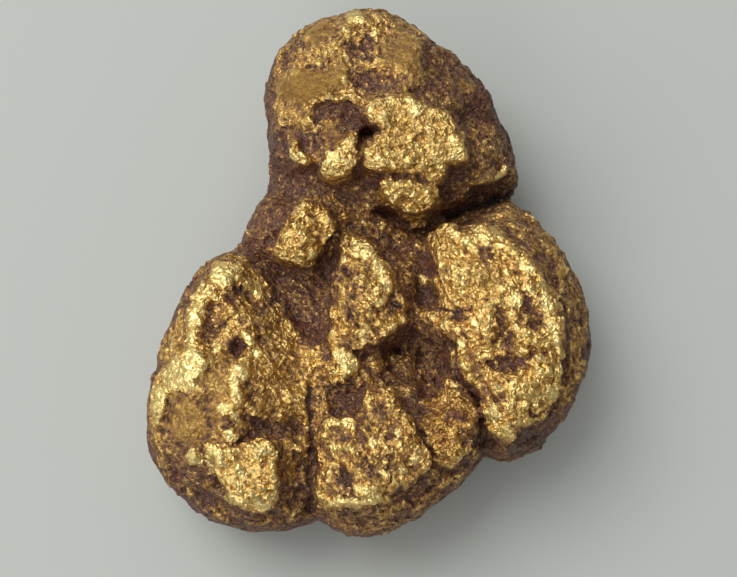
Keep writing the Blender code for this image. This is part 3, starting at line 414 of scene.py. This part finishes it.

# Narrow cracks: route, half width, depth and darkness, which is painted shade as well as oxide
CRACKS = [
    ([(6.0, 2.4), (6.6, 2.6), (8.0, 3.2), (9.6, 3.8), (11.4, 4.5)], 0.35, 1.0, 1.0),
    ([(-4.7, -11.6), (-4.6, -13.4), (-4.3, -15.2), (-4.2, -16.8), (-4.5, -18.2), (-4.3, -19.6),
      (-4.5, -20.9)], 0.22, 0.3, 0.6),
    ([(11.6, -15.3), (13.4, -15.0)], 0.5, 0.1, 0.8),
    ([(8.2, -13.6), (8.3, -14.4), (8.4, -15.4), (9.0, -16.0)], 0.22, 0.25, 0.6),
    ([(4.2, -14.6), (4.6, -16.2), (5.0, -17.4), (6.2, -17.9), (7.2, -17.2), (7.8, -16.2)], 0.12, 0.15, 0.4),
    ([(5.6, -4.9), (6.6, -5.3), (7.8, -5.3)], 0.12, 0.25, 0.8),
    ([(1.2, -4.4), (2.4, -4.9), (3.0, -4.2)], 0.12, 0.2, 0.8),
    ([(6.8, -10.6), (7.6, -11.4), (8.3, -12.4)], 0.25, 0.2, 0.35)]

# Narrow raised folds of foil: route, half width and height
FOLDS = [
    ([(6.4, -11.1), (7.2, -12.0), (8.0, -13.0)], 0.2, 0.35),
    ([(-3.9, 12.3), (-3.3, 12.7), (-2.8, 12.3)], 0.15, 0.25),
    ([(-2.3, 12.4), (-1.6, 12.7), (-1.2, 12.4)], 0.15, 0.25)]

# Round pits: centre, radius and depth
PITS = [
    ((-10.2, -8.2), 0.6, 0.1), ((2.0, -8.3), 0.3, 0.35), ((3.8, -8.9), 0.35, 0.4), ((0.1, 9.7), 0.5, 0.7),
    ((7.2, -13.8), 0.25, 0.25), ((6.7, -13.4), 0.2, 0.2), ((12.5, -13.6), 0.2, 0.25),
    ((9.1, -9.5), 0.3, 0.3), ((-11.6, -18.7), 0.3, 0.35)]

# Small raised lumps: centre, radius and height
LUMPS = [
    ((-13.4, -16.8), 0.6, 0.4), ((-11.9, -16.2), 0.6, 0.4), ((-3.3, 10.2), 0.9, 0.5), ((6.3, -6.4), 0.9, 0.4)]

# Broad fields of the upper side: outline, how much of it is bare gold, how red its stain is
FIELDS = [
    ([(-8.8, 9.0), (-8.8, 16.0), (-6.5, 20.0), (-2.0, 21.5), (3.6, 20.8), (4.4, 15.0), (3.0, 13.0),
      (-1.0, 12.5), (-5.0, 9.0)], 0.68, 0.3),
    ([(4.4, 21.0), (5.0, 15.0), (7.0, 12.0), (8.4, 8.0), (9.0, 5.5), (12.4, 5.5), (12.6, 12.0),
      (9.0, 19.0)], 0.3, 0.6),
    ([(-16.0, -7.0), (-12.0, -0.5), (-8.6, -1.0), (-7.0, -4.8), (-3.6, -8.6), (-4.6, -15.0),
      (-9.0, -15.4), (-17.6, -15.6)], 0.8, 0.3),
    ([(-10.2, -0.6), (-9.8, 3.0), (-8.2, 5.0), (-6.2, 3.6), (-7.4, 0.2), (-8.0, -1.0)], 0.2, 1.0)]

# Grid of the skin in millimetres and how far its facets are rounded off
SKIN_GRID = 0.15
SOFTENING_STEPS = 24

# How softly each kind of place ends, and how deep or high it is, in millimetres
PLATE_EDGE = 0.16
HOLLOW_EDGE = 0.7
HOLLOW_DEPTH = 0.5
FILL_EDGE = 0.8
STAIN_DEPTH = 0.1
FLAKE_LEAN = 0.26
FLAKE_RISE = 0.2

# Faces whose normal rises less than SIDE_RISE are thinned to this share, then all to this count
SIDE_RISE = 0.1
SIDE_KEPT = 0.3
MOST_TRIANGLES = 192000

# The folds of the lobes run this way, seen from above
FOLD_RUN = np.array((0.64, -0.77, 0))
FOLD_STRETCH = 0.2
CRUMPLE_MIDDLE = 0.16


def clear_selection():
    bpy.ops.object.select_all(action="DESELECT")


def apply_modifier(piece, kind, **settings):
    clear_selection()
    piece.select_set(True)
    bpy.context.view_layer.objects.active = piece
    modifier = piece.modifiers.new(kind.title(), kind)
    for key, value in settings.items():
        setattr(modifier, key, value)
    bpy.ops.object.modifier_apply(modifier=modifier.name)


def read_points(mesh, what="co"):
    values = np.empty(len(mesh.vertices) * 3)
    mesh.vertices.foreach_get(what, values)
    return values.reshape(-1, 3)


def write_points(mesh, places):
    mesh.vertices.foreach_set("co", places.ravel())
    mesh.update()


def step_up(low, high, value):
    """A smooth step from 0 at low to 1 at high."""
    t = np.clip((value - low) / (high - low), 0, 1)
    return t * t * (3 - 2 * t)


def from_segments(start, run, plan):
    """Distance of each plan point from the nearest of some straight segments."""
    rel = plan[:, None, :] - start[None]
    along = np.clip((rel * run).sum(2) / (run * run).sum(1), 0, 1)
    return np.sqrt(((rel - along[..., None] * run) ** 2).sum(2).min(1))


def from_route(route, plan):
    start = np.array(route[:-1])
    return from_segments(start, np.array(route[1:]) - start, plan)


def inside(outline, plan):
    """Distance of each plan point from the outline, positive inside it."""
    start = np.array(outline)
    end = np.roll(start, -1, axis=0)
    run = end - start
    level = plan[:, None, 1]
    straddles = (start[:, 1] > level) != (end[:, 1] > level)
    rise = np.where(run[:, 1] == 0, 1e-9, run[:, 1])
    crossing = start[:, 0] + (level - start[:, 1]) * run[:, 0] / rise
    odd = (straddles & (plan[:, None, 0] < crossing)).sum(1) % 2 == 1
    gap = from_segments(start, run, plan)
    return np.where(odd, gap, -gap)


def greatest(features, plan, measure):
    """The greatest value that any of the features gives at each plan point."""
    result = np.zeros(len(plan))
    for feature in features:
        points = np.atleast_2d(feature[0])
        reach = 1.5 + (feature[1] if len(points) == 1 else 0)
        close = ((plan > points.min(0) - reach) & (plan < points.max(0) + reach)).all(1)
        result[close] = np.maximum(result[close], measure(feature, plan[close]))
    return result


def plate_share(edge):
    return lambda plate, plan: step_up(-edge, edge, inside(plate[0], plan))


def flake_share(flake, plan):
    """1 within an oval flake and 0 well outside it."""
    centre, half_length, half_width, turn = flake
    along = np.array((math.cos(math.radians(turn)), math.sin(math.radians(turn))))
    rel = plan - centre
    across = rel @ np.array((-along[1], along[0]))
    return step_up(-1.2, -0.85, -np.hypot(rel @ along / half_length, across / half_width))


def leaning(share):
    """Height of a flake or piece of foil that leans to the left, with its right edge raised."""
    def height(feature, plan):
        points = np.atleast_2d(feature[0])
        reach = feature[1] if len(points) == 1 else 0
        left = points[:, 0].min() - reach
        width = points[:, 0].max() + reach - left
        slope = min(FLAKE_LEAN, FLAKE_RISE / width)
        return share(feature, plan) * (0.03 + slope * np.clip(plan[:, 0] - left, 0, width))
    return height


def smooth_noise(places, size, offset):
    """Smooth noise of the given lump size at each place, about -1 to 1."""
    shift = Vector((offset, 0, 0))
    read = noise.noise
    return np.array([read(Vector(p) + shift) for p in places / size])


def ridges(places, size, offset):
    """A network of sharp crests, 1 on the crests and falling off between them."""
    return 1 - 2 * np.abs(smooth_noise(places, size, offset))


def facets(places, size, offset):
    """Crumpled foil: each cell of the given size is a small plane with a tilt of its own."""
    shift = Vector((offset, 0, 0))
    half = Vector((0.5, 0.5, 0.5))
    heights = np.empty(len(places))
    for i, p in enumerate(places / size):
        place = Vector(p) + shift
        centre = noise.voronoi(place)[1][0]
        tilt = noise.cell_vector(centre * 37.0) - half
        heights[i] = tilt.dot(place - centre)
    return heights * size


def seen_plan(places):
    """Where the line of sight from the camera through each place meets the plan level."""
    eye = np.array(EYE) / MM
    share = (PLAN_LEVEL - eye[2]) / (places[:, 2] - eye[2])
    return (eye + (places - eye) * share[:, None])[:, :2]


def ragged_plans(places):
    """The seen plan, shaken to make outlines crumbly: strongly for plates, lightly for flakes."""
    plan = seen_plan(places)
    shake = np.zeros_like(plan)
    for size, reach, offset in ((1.8, 0.35, 0), (0.7, 0.25, 100), (0.35, 0.12, 200)):
        shake[:, 0] += reach * smooth_noise(places, size, offset)
        shake[:, 1] += reach * smooth_noise(places, size, offset + 50)
    return plan + shake, plan + 0.35 * shake


def grow_skin():
    """The nugget's rough form: a merged copy of its solid, made even and soft."""
    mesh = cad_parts["gold_nugget"].data.copy()
    mesh.materials.clear()
    skin = bpy.data.objects.new("nugget_skin", mesh)
    bpy.context.scene.collection.objects.link(skin)
    clear_selection()
    skin.select_set(True)
    bpy.context.view_layer.objects.active = skin
    bpy.ops.object.mode_set(mode="EDIT")
    bpy.ops.mesh.select_all(action="SELECT")
    bpy.ops.mesh.remove_doubles(threshold=0.001 * MM)
    bpy.ops.object.mode_set(mode="OBJECT")
    apply_modifier(skin, "REMESH", mode="VOXEL", voxel_size=SKIN_GRID * MM)
    apply_modifier(skin, "SMOOTH", factor=0.5, iterations=SOFTENING_STEPS)
    return skin


def raise_relief(skin):
    """Sharp plates, flakes, folds, hollows, cracks and pits on the upper side."""
    places = read_points(skin.data) / MM
    normals = read_points(skin.data, "normal")
    plan, near_plan = ragged_plans(places)
    raised = greatest(PLATES, plan, lambda f, p: f[1] * plate_share(PLATE_EDGE)(f, p))
    raised = np.maximum(raised, greatest(LUMPS, plan, lambda f, p: f[2] * np.sqrt(
        np.clip(1 - (np.linalg.norm(p - f[0], axis=1) / f[1]) ** 2, 0, 1))))
    raised += greatest(FILLS, plan, lambda f, p: f[1] * plate_share(FILL_EDGE)(f, p))
    raised += greatest(FOIL, near_plan, leaning(plate_share(0.15)))
    raised += greatest(GLINTS, near_plan, leaning(flake_share))
    raised += greatest(FOLDS, near_plan, lambda f, p: f[2] * step_up(-2 * f[1], 0, -from_route(f[0], p)))
    sunk = greatest(HOLLOWS, plan, lambda f, p: f[1] * HOLLOW_DEPTH * plate_share(HOLLOW_EDGE)(f, p))
    sunk += greatest(STAINS, plan, lambda f, p: STAIN_DEPTH * plate_share(0.35)(f, p))
    sunk += greatest(CRACKS, plan, lambda f, p: f[2] * step_up(-2 * f[1], 0, -from_route(f[0], p)))
    sunk += greatest(PITS, plan, lambda f, p: f[2] * step_up(
        0.6, 1.3, 1.9 - np.linalg.norm(p - f[0], axis=1) / f[1]))
    lean = normals + np.array((0, 0, 1.0)) * (normals[:, 2:3] > 0)
    lean /= np.linalg.norm(lean, axis=1)[:, None]
    places += lean * ((raised - sunk) * step_up(0.0, 0.45, normals[:, 2]))[:, None]
    write_points(skin.data, places * MM)


def crumple(skin):
    """Crests, folds and facets of worn crystalline gold, strongest on the plates."""
    places = read_points(skin.data) / MM
    normals = read_points(skin.data, "normal")
    plan, near_plan = ragged_plans(places)
    foil = np.maximum(greatest(FOIL, near_plan, plate_share(0.2)), greatest(GLINTS, near_plan, flake_share))
    rough = greatest(PLATES, plan, lambda f, p: f[2] * plate_share(0.2)(f, p))
    smooth = greatest(SMOOTH_PATCHES, plan, lambda f, p: f[1] * plate_share(0.5)(f, p))
    rough = (0.75 + 0.25 * rough) * (1 - 0.55 * smooth) * (1 - 0.5 * foil)
    height = 0.10 * ridges(places, 1.0, 0) + 0.06 * ridges(places, 0.5, 30)
    height += (0.28 * facets(places, 2.2, 150) + 0.35 * facets(places, 1.2, 60)
               + 0.35 * facets(places, 0.6, 90))
    along = places @ FOLD_RUN
    stretched = places - np.outer(along * (1 - FOLD_STRETCH), FOLD_RUN)
    lobes = step_up(-3.0, -1.0, -places[:, 1])
    height += 0.22 * lobes * ridges(stretched, 0.7, 170)
    height += 0.05 * (1 - smooth) * ridges(places, 0.33, 210)
    side = 1 - step_up(0.1, 0.5, np.abs(normals[:, 2]))
    height += side * 0.22 * ridges(places, 1.9, 120)
    rough *= 1 - 0.4 * side
    places += normals * (rough * (height - CRUMPLE_MIDDLE - 0.1 * side))[:, None]
    places[:, 2] = np.maximum(places[:, 2], 0)
    write_points(skin.data, places * MM)


def thin_out(skin):
    """Fewer faces down the sides and below, then all over: the upper side keeps its crisp crumple."""
    mesh = skin.data
    steep = np.empty(len(mesh.polygons) * 3)
    mesh.polygons.foreach_get("normal", steep)
    bpy.context.view_layer.objects.active = skin
    bpy.ops.object.mode_set(mode="EDIT")
    bpy.ops.mesh.select_mode(type="FACE")
    bpy.ops.mesh.select_all(action="DESELECT")
    bpy.ops.object.mode_set(mode="OBJECT")
    mesh.polygons.foreach_set("select", steep.reshape(-1, 3)[:, 2] < SIDE_RISE)
    bpy.ops.object.mode_set(mode="EDIT")
    bpy.ops.mesh.decimate(ratio=SIDE_KEPT)
    bpy.ops.mesh.select_all(action="DESELECT")
    bpy.ops.object.mode_set(mode="OBJECT")
    triangles = sum(len(face.vertices) - 2 for face in mesh.polygons)
    if triangles > MOST_TRIANGLES:
        apply_modifier(skin, "DECIMATE", ratio=MOST_TRIANGLES / triangles)


def draw_in(skin):
    """Squeezes the outermost millimetre, so that nothing passes the solid's box."""
    places = read_points(skin.data) / MM
    box = np.array(CAD_BOX) / MM
    for axis in range(3):
        for limit, side in ((box[0][axis], -1), (box[1][axis], 1)):
            reach = places[:, axis] * side
            start = limit * side - 1.0
            beyond = reach - start
            squeeze = min(1.0, 1.0 / beyond.max())
            places[:, axis] = np.where(beyond > 0, start + beyond * squeeze, reach) * side
    write_points(skin.data, places * MM)


def blurred(values, ends, rounds):
    """Each vertex's place averaged with its neighbours', over and over."""
    count = len(values)
    reach = np.bincount(ends.ravel(), minlength=count)[:, None]
    for _ in range(rounds):
        total = np.zeros_like(values)
        for axis in range(3):
            total[:, axis] = np.bincount(ends[:, 0], values[ends[:, 1], axis], count)
            total[:, axis] += np.bincount(ends[:, 1], values[ends[:, 0], axis], count)
        values = 0.5 * values + 0.5 * total / reach
    return values


def store(mesh, name, values):
    attribute = mesh.attributes.new(name, "FLOAT", "POINT")
    attribute.data.foreach_set("value", np.ascontiguousarray(values, dtype=np.float32))


def paint(skin):
    """Masks for the material: bare gold, red stain, clean foil with its painted highlight, and how far each
    point stands out.
    """
    mesh = skin.data
    places = read_points(mesh) / MM
    normals = read_points(mesh, "normal")
    ends = np.empty(len(mesh.edges) * 2, dtype=np.int32)
    mesh.edges.foreach_get("vertices", ends)
    ends = ends.reshape(-1, 2)
    near_by = blurred(places, ends, 8)
    fine = ((places - near_by) * normals).sum(1)
    broad = ((near_by - blurred(near_by, ends, 60)) * normals).sum(1)
    plan, near_plan = ragged_plans(places)
    up = step_up(0.25, 0.7, blurred(normals, ends, 20)[:, 2])
    bare = np.full(len(places), TOP_BARE)
    red = np.full(len(places), TOP_RED)
    for outline, share, stain in FIELDS:
        weight = step_up(-0.8, 0.8, inside(outline, plan))
        bare += weight * (share - bare)
        red += weight * (stain - red)
    plate = greatest(PLATES, plan, lambda f, p: f[3] * plate_share(0.3)(f, p))
    bare = np.maximum(bare, plate)
    hollow = greatest(HOLLOWS, plan, plate_share(0.6))
    bare += hollow * (HOLLOW_BARE - bare)

    # Parts that the photograph shows, by their fixed direction, and parts that it hides
    facing = normals @ np.array((EYE - TARGET).normalized())
    seen = step_up(0.05, 0.35, facing)
    hidden = 1 - step_up(-0.2, 0.1, facing)

    # The hidden sides are worn in patches, and the flats that it rests on are rubbed
    worn = SIDE_BARE + 0.36 * hidden * step_up(0.0, 0.4, smooth_noise(places, 4.5, 240))
    worn += (FLAT_BARE - worn) * step_up(-0.4, -0.05, -places[:, 2])
    hold = np.maximum(up, seen * step_up(0.0, 0.5, plate))
    bare = worn + (bare - worn) * hold
    red = SIDE_RED + (red - SIDE_RED) * hold
    for outline, share, stain in STAINS:
        weight = seen * step_up(-0.5, 0.4, inside(outline, plan))
        bare += weight * (STAIN_BARE + share - bare)
        red += weight * (stain - red)
    bare = np.maximum(bare, up * greatest(SMOOTH_PATCHES, plan, lambda f, p: f[2] * plate_share(0.4)(f, p)))

    # No gold in cracks and pits, and all gold on clean foil that faces up, which the material also paints
    # paler as a highlight
    # The crack mask also darkens the crust to near black in the material: painted shade, besides the oxide
    crack_oxide_and_shade = greatest(CRACKS, plan, lambda f, p: f[3] * step_up(
        -1.6 * f[1], -0.3 * f[1], -from_route(f[0], p)))
    pit = greatest(PITS, plan, lambda f, p: step_up(
        0.7, 1.2, 1.9 - np.linalg.norm(p - f[0], axis=1) / f[1]))
    bare *= (1 - crack_oxide_and_shade) * (1 - pit)
    clean_foil_and_painted_glint = np.maximum(greatest(FOIL, near_plan, plate_share(0.2)), greatest(GLINTS, near_plan, flake_share))
    clean_foil_and_painted_glint = np.maximum(clean_foil_and_painted_glint, greatest(
        FOLDS, near_plan, lambda f, p: step_up(-1.5, -0.5, -from_route(f[0], p) / f[1])))
    clean_foil_and_painted_glint *= step_up(0.25, 0.5, facing)
    bare += clean_foil_and_painted_glint * (1.0 - bare)
    smooth = greatest(SMOOTH_PATCHES, plan, lambda f, p: f[1] * plate_share(0.4)(f, p)) * (1 - clean_foil_and_painted_glint)

    store(mesh, "bare", bare)
    store(mesh, "red", red)
    store(mesh, "fine", fine * (0.3 + 0.7 * up))
    store(mesh, "broad", broad)
    store(mesh, "crack_oxide_and_shade", crack_oxide_and_shade * up)
    store(mesh, "clean_foil_and_painted_glint", clean_foil_and_painted_glint * up)
    store(mesh, "matt", smooth * up)
    store(mesh, "orange", 0.75 * step_up(-0.4, 0.4, inside(ORANGE_LUMP, plan)) * up)


def linear(hex_colour):
    """A colour given as sRGB hex, as the linear values that the shader reads."""
    channels = [int(hex_colour[i:i + 2], 16) / 255 for i in (1, 3, 5)]
    return tuple(c / 12.92 if c <= 0.04045 else ((c + 0.055) / 1.055) ** 2.4 for c in channels) + (1,)


def add_node(tree, kind, inputs, output=0, **settings):
    """A node with its settings and inputs, each a value or the socket that feeds it; gives one output."""
    node = tree.nodes.new(kind)
    for key, value in settings.items():
        setattr(node, key, value)
    for key, value in inputs.items():
        if isinstance(value, bpy.types.NodeSocket):
            tree.links.new(value, node.inputs[key])
        else:
            node.inputs[key].default_value = value
    return node.outputs[output]


def nugget_material():
    """Native gold, worn by a river: bare crumpled metal that glints, in a satin crust of red-brown oxide."""
    material = bpy.data.materials.new("native gold with iron oxide crust")
    material.use_nodes = True
    tree = material.node_tree
    shader = tree.nodes["Principled BSDF"]
    math_, vector_, mix = "ShaderNodeMath", "ShaderNodeVectorMath", "ShaderNodeMix"
    noise_, spread = "ShaderNodeTexNoise", "ShaderNodeMapRange"
    masks = {name: add_node(tree, "ShaderNodeAttribute", {}, "Fac", attribute_name=name)
             for name in ("bare", "red", "fine", "broad", "crack_oxide_and_shade", "clean_foil_and_painted_glint", "matt", "orange")}

    # Grains of several real sizes, on coordinates that are shaken so that no cell is regular
    place = add_node(tree, "ShaderNodeTexCoord", {}, "Object")
    shake = add_node(tree, noise_, {"Vector": place, "Scale": 1 / (0.45 * MM), "Detail": 1}, "Color")
    shake = add_node(tree, vector_, {0: shake, 1: (0.5, 0.5, 0.5)}, operation="SUBTRACT")
    shaken = add_node(tree, vector_, {0: shake, 1: (0.5 * MM,) * 3, 2: place}, operation="MULTIPLY_ADD")
    grain = {}
    for name, size_mm, detail in (("speck", 0.36, 3), ("crumb", 0.13, 2), ("patch", 1.2, 3), ("tint", 3.5, 2),
                                  ("crease", 0.6, 1)):
        grain[name] = add_node(tree, noise_, {
            "Vector": shaken, "Scale": 1 / (size_mm * MM), "Detail": detail, "Roughness": 0.6})

    # Flakes: every cell is a facet with a tilt of its own
    height = add_node(tree, math_, {0: grain["speck"], 1: 0.13}, operation="MULTIPLY")
    height = add_node(tree, math_, {0: grain["crumb"], 1: 0.035, 2: height}, operation="MULTIPLY_ADD")
    crease = add_node(tree, math_, {0: grain["crease"], 1: 0.5}, operation="SUBTRACT")
    crease = add_node(tree, math_, {0: crease}, operation="ABSOLUTE")
    height = add_node(tree, math_, {0: crease, 1: -0.55, 2: height}, operation="MULTIPLY_ADD")
    for size_mm in (0.5, 0.24):
        cells = {"Vector": shaken, "Scale": 1 / (size_mm * MM)}
        flake_tilt = add_node(tree, "ShaderNodeTexVoronoi", cells, "Color")
        flake_tilt = add_node(tree, vector_, {0: flake_tilt, 1: (0.5, 0.5, 0.5)}, operation="SUBTRACT")
        centre = add_node(tree, "ShaderNodeTexVoronoi", cells, "Position")
        arm = add_node(tree, vector_, {0: shaken, 1: centre}, operation="SUBTRACT")
        lean = add_node(tree, vector_, {0: flake_tilt, 1: arm}, "Value", operation="DOT_PRODUCT")
        height = add_node(tree, math_, {0: lean, 1: 0.5 / MM, 2: height}, operation="MULTIPLY_ADD")
    shade = add_node(tree, "ShaderNodeTexVoronoi", {"Vector": shaken, "Scale": 1 / (0.5 * MM)}, "Color")
    shade = add_node(tree, "ShaderNodeSeparateColor", {0: shade}, 0)

    # Where gold shows: on the plates and crests, in specks elsewhere
    level = add_node(tree, math_, {0: masks["fine"], 1: 3.0, 2: masks["bare"]}, operation="MULTIPLY_ADD")
    level = add_node(tree, math_, {0: masks["broad"], 1: 0.6, 2: level}, operation="MULTIPLY_ADD")
    for name, share in (("speck", 1.9), ("crumb", 0.5), ("patch", 0.8)):
        level = add_node(tree, math_, {0: grain[name], 1: share, 2: level}, operation="MULTIPLY_ADD")
    level = add_node(tree, math_, {0: level, 1: 1.6}, operation="SUBTRACT")
    stained = add_node(tree, spread, {"Value": level, "From Min": 0.22, "From Max": 0.5},
                       interpolation_type="SMOOTHSTEP")
    gold = add_node(tree, spread, {"Value": level, "From Min": 0.42, "From Max": 1.0},
                    interpolation_type="SMOOTHSTEP")
    # Paler gold where the gold share is highest and on crests: partly pale metal, partly painted highlight
    pale_gold_and_highlight = add_node(tree, spread, {"Value": level, "From Min": 0.9, "From Max": 1.35},
                      interpolation_type="SMOOTHSTEP")
    # Gold specks, also made paler: real gold grains with painted sparkle
    glitter = add_node(tree, spread, {
        "Value": grain["crumb"], "From Min": 0.63, "From Max": 0.71, "To Max": 0.55})
    gold = add_node(tree, math_, {0: gold, 1: glitter}, operation="MAXIMUM")
    pale_gold_and_highlight = add_node(tree, math_, {0: pale_gold_and_highlight, 1: glitter}, operation="MAXIMUM")
    # Mottled paler gold on clean foil and glint spots: a painted highlight
    flicker = add_node(tree, spread, {"Value": grain["speck"], "From Min": 0.3, "From Max": 0.42})
    flicker = add_node(tree, math_, {0: flicker, 1: masks["clean_foil_and_painted_glint"]}, operation="MULTIPLY")
    pale_gold_and_highlight = add_node(tree, math_, {0: pale_gold_and_highlight, 1: flicker}, operation="MAXIMUM")
    pale_gold_and_highlight = add_node(tree, mix, {0: masks["matt"], 2: pale_gold_and_highlight, 3: 0.0})

    # Colours: yellow metal, matt ochre, a pale foil tone that is partly painted highlight, and the orange
    # lump; crust with dust, grit that is partly painted sparkle, and painted shade in cracks; tarnish between
    tint = add_node(tree, spread, {"Value": grain["tint"], "From Min": 0.35, "From Max": 0.65})
    rust = add_node(tree, spread, {"Value": grain["patch"], "From Min": 0.35, "From Max": 0.65})
    dust = add_node(tree, spread, {"Value": grain["speck"], "From Min": 0.36, "From Max": 0.6})
    # Lighter specks in the crust: partly grit, partly painted sparkle
    grit_and_sparkle = add_node(tree, spread, {"Value": grain["crumb"], "From Min": 0.5, "From Max": 0.64, "To Max": 0.6})
    yellow = add_node(tree, mix, {0: tint, 6: linear("#D0994A"), 7: linear("#E6B660")}, 2, data_type="RGBA")
    yellow = add_node(tree, mix, {0: shade, 6: yellow, 7: linear("#FFD482")}, 2, data_type="RGBA")
    ochre = add_node(tree, mix, {0: tint, 6: linear("#9C7539"), 7: linear("#B08A4B")}, 2, data_type="RGBA")
    metal = add_node(tree, mix, {0: masks["matt"], 6: yellow, 7: ochre}, 2, data_type="RGBA")
    # The pale tone is a painted highlight as much as pale gold
    metal = add_node(tree, mix, {0: pale_gold_and_highlight, 6: metal, 7: linear("#FFE296")}, 2, data_type="RGBA")
    metal = add_node(tree, mix, {0: masks["orange"], 6: metal, 7: linear("#BC8A48")}, 2, data_type="RGBA")
    crust = add_node(tree, mix, {0: rust, 6: linear("#56352A"), 7: linear("#744630")}, 2, data_type="RGBA")
    crust = add_node(tree, mix, {0: masks["red"], 6: crust, 7: linear("#7A3F26")}, 2, data_type="RGBA")
    crust = add_node(tree, mix, {0: dust, 6: linear("#3A221C"), 7: crust}, 2, data_type="RGBA")
    crust = add_node(tree, mix, {0: grit_and_sparkle, 6: crust, 7: linear("#92664A")}, 2, data_type="RGBA")
    # Near black in the cracks: painted shade over the oxide
    crust = add_node(tree, mix, {0: masks["crack_oxide_and_shade"], 6: crust, 7: linear("#22150F")}, 2, data_type="RGBA")
    tarnish = add_node(tree, mix, {0: rust, 6: linear("#8C6640"), 7: linear("#946846")}, 2, data_type="RGBA")
    colour = add_node(tree, mix, {0: stained, 6: crust, 7: tarnish}, 2, data_type="RGBA")
    colour = add_node(tree, mix, {0: gold, 6: colour, 7: metal}, 2, data_type="RGBA")
    tree.links.new(colour, shader.inputs["Base Color"])

    # Crust is satin and hardly metal; smooth gold has a film of oxide, so it is matt
    metallic = add_node(tree, mix, {0: masks["matt"], 2: 0.95, 3: 0.4})
    metallic = add_node(tree, math_, {0: gold, 1: metallic}, operation="MULTIPLY")
    metallic = add_node(tree, math_, {0: stained, 1: 0.4, 2: metallic}, operation="MULTIPLY_ADD",
                        use_clamp=True)
    tree.links.new(metallic, shader.inputs["Metallic"])
    rough = add_node(tree, mix, {0: gold, 2: 0.5, 3: 0.33})
    rough = add_node(tree, mix, {0: masks["matt"], 2: rough, 3: 0.58})
    tree.links.new(rough, shader.inputs["Roughness"])
    calm = add_node(tree, math_, {0: masks["matt"], 1: -0.3, 2: 1.0}, operation="MULTIPLY_ADD")
    calm = add_node(tree, math_, {0: masks["clean_foil_and_painted_glint"], 1: -0.45, 2: calm}, operation="MULTIPLY_ADD")
    height = add_node(tree, math_, {0: height, 1: calm}, operation="MULTIPLY")
    bump = add_node(tree, "ShaderNodeBump", {"Strength": 1.0, "Distance": 1 * MM, "Height": height})
    tree.links.new(bump, shader.inputs["Normal"])
    return material


def floor_material():
    """Pale grey board: matt, with no pattern of its own."""
    material = bpy.data.materials.new("pale grey board")
    material.use_nodes = True
    shader = material.node_tree.nodes["Principled BSDF"]
    shader.inputs["Base Color"].default_value = linear("#C2C5C0")
    shader.inputs["Roughness"].default_value = 0.8
    return material


def make_nugget():
    skin = grow_skin()
    raise_relief(skin)
    apply_modifier(skin, "REMESH", mode="VOXEL", voxel_size=SKIN_GRID * MM)
    crumple(skin)
    thin_out(skin)
    draw_in(skin)
    paint(skin)
    skin.data.materials.append(nugget_material())
    skin.data.shade_smooth()
    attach(skin, "root")
    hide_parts("gold_nugget")


def make_floor():
    clear_selection()
    bpy.ops.mesh.primitive_plane_add(size=3, location=(0, 0, 0))
    floor = bpy.context.active_object
    floor.name = "floor"
    floor.data.materials.append(floor_material())


def add_soft_light(name, direction, distance, size, power):
    """A square soft light that faces the nugget; its distance and size are in millimetres."""
    lamp = bpy.data.lights.new(name, "AREA")
    lamp.size = size * MM
    lamp.energy = power
    light = bpy.data.objects.new(name, lamp)
    bpy.context.scene.collection.objects.link(light)
    towards = Vector(direction).normalized()
    light.location = TARGET + towards * distance * MM
    light.rotation_euler = towards.to_track_quat("Z", "Y").to_euler()


def light_scene():
    add_soft_light("window", (-0.42, 0.32, 0.85), 480, 300, 1.12)
    add_soft_light("fill", (-0.35, -0.75, 0.55), 480, 220, 0.38)
    world = bpy.data.worlds.new("soft room")
    bpy.context.scene.world = world
    world.use_nodes = True
    tree = world.node_tree
    direction = add_node(tree, "ShaderNodeTexCoord", {}, "Generated")
    closeness = add_node(tree, "ShaderNodeVectorMath", {0: direction, 1: (-0.75, 0.45, 0.48)}, "Value",
                         operation="DOT_PRODUCT")
    strength = add_node(tree, "ShaderNodeMapRange", {
        "Value": closeness, "From Min": 0.0, "From Max": 1.0, "To Min": 0.26, "To Max": 1.0},
        interpolation_type="SMOOTHSTEP")
    background = tree.nodes["Background"]
    background.inputs["Color"].default_value = linear("#EEF0EE")
    tree.links.new(strength, background.inputs["Strength"])


def make_camera():
    camera = bpy.data.cameras.new("camera")
    camera.sensor_width = SENSOR_MM
    camera.lens = SENSOR_MM * DISTANCE / FRAME_WIDTH
    camera.clip_start = 0.005
    eye = bpy.data.objects.new("camera", camera)
    bpy.context.scene.collection.objects.link(eye)
    eye.location = EYE
    eye.rotation_euler = (EYE - TARGET).to_track_quat("Z", "Y").to_euler()
    bpy.context.scene.camera = eye


bpy.context.scene.view_settings.view_transform = "Standard"
make_camera()
light_scene()
make_floor()
make_nugget()
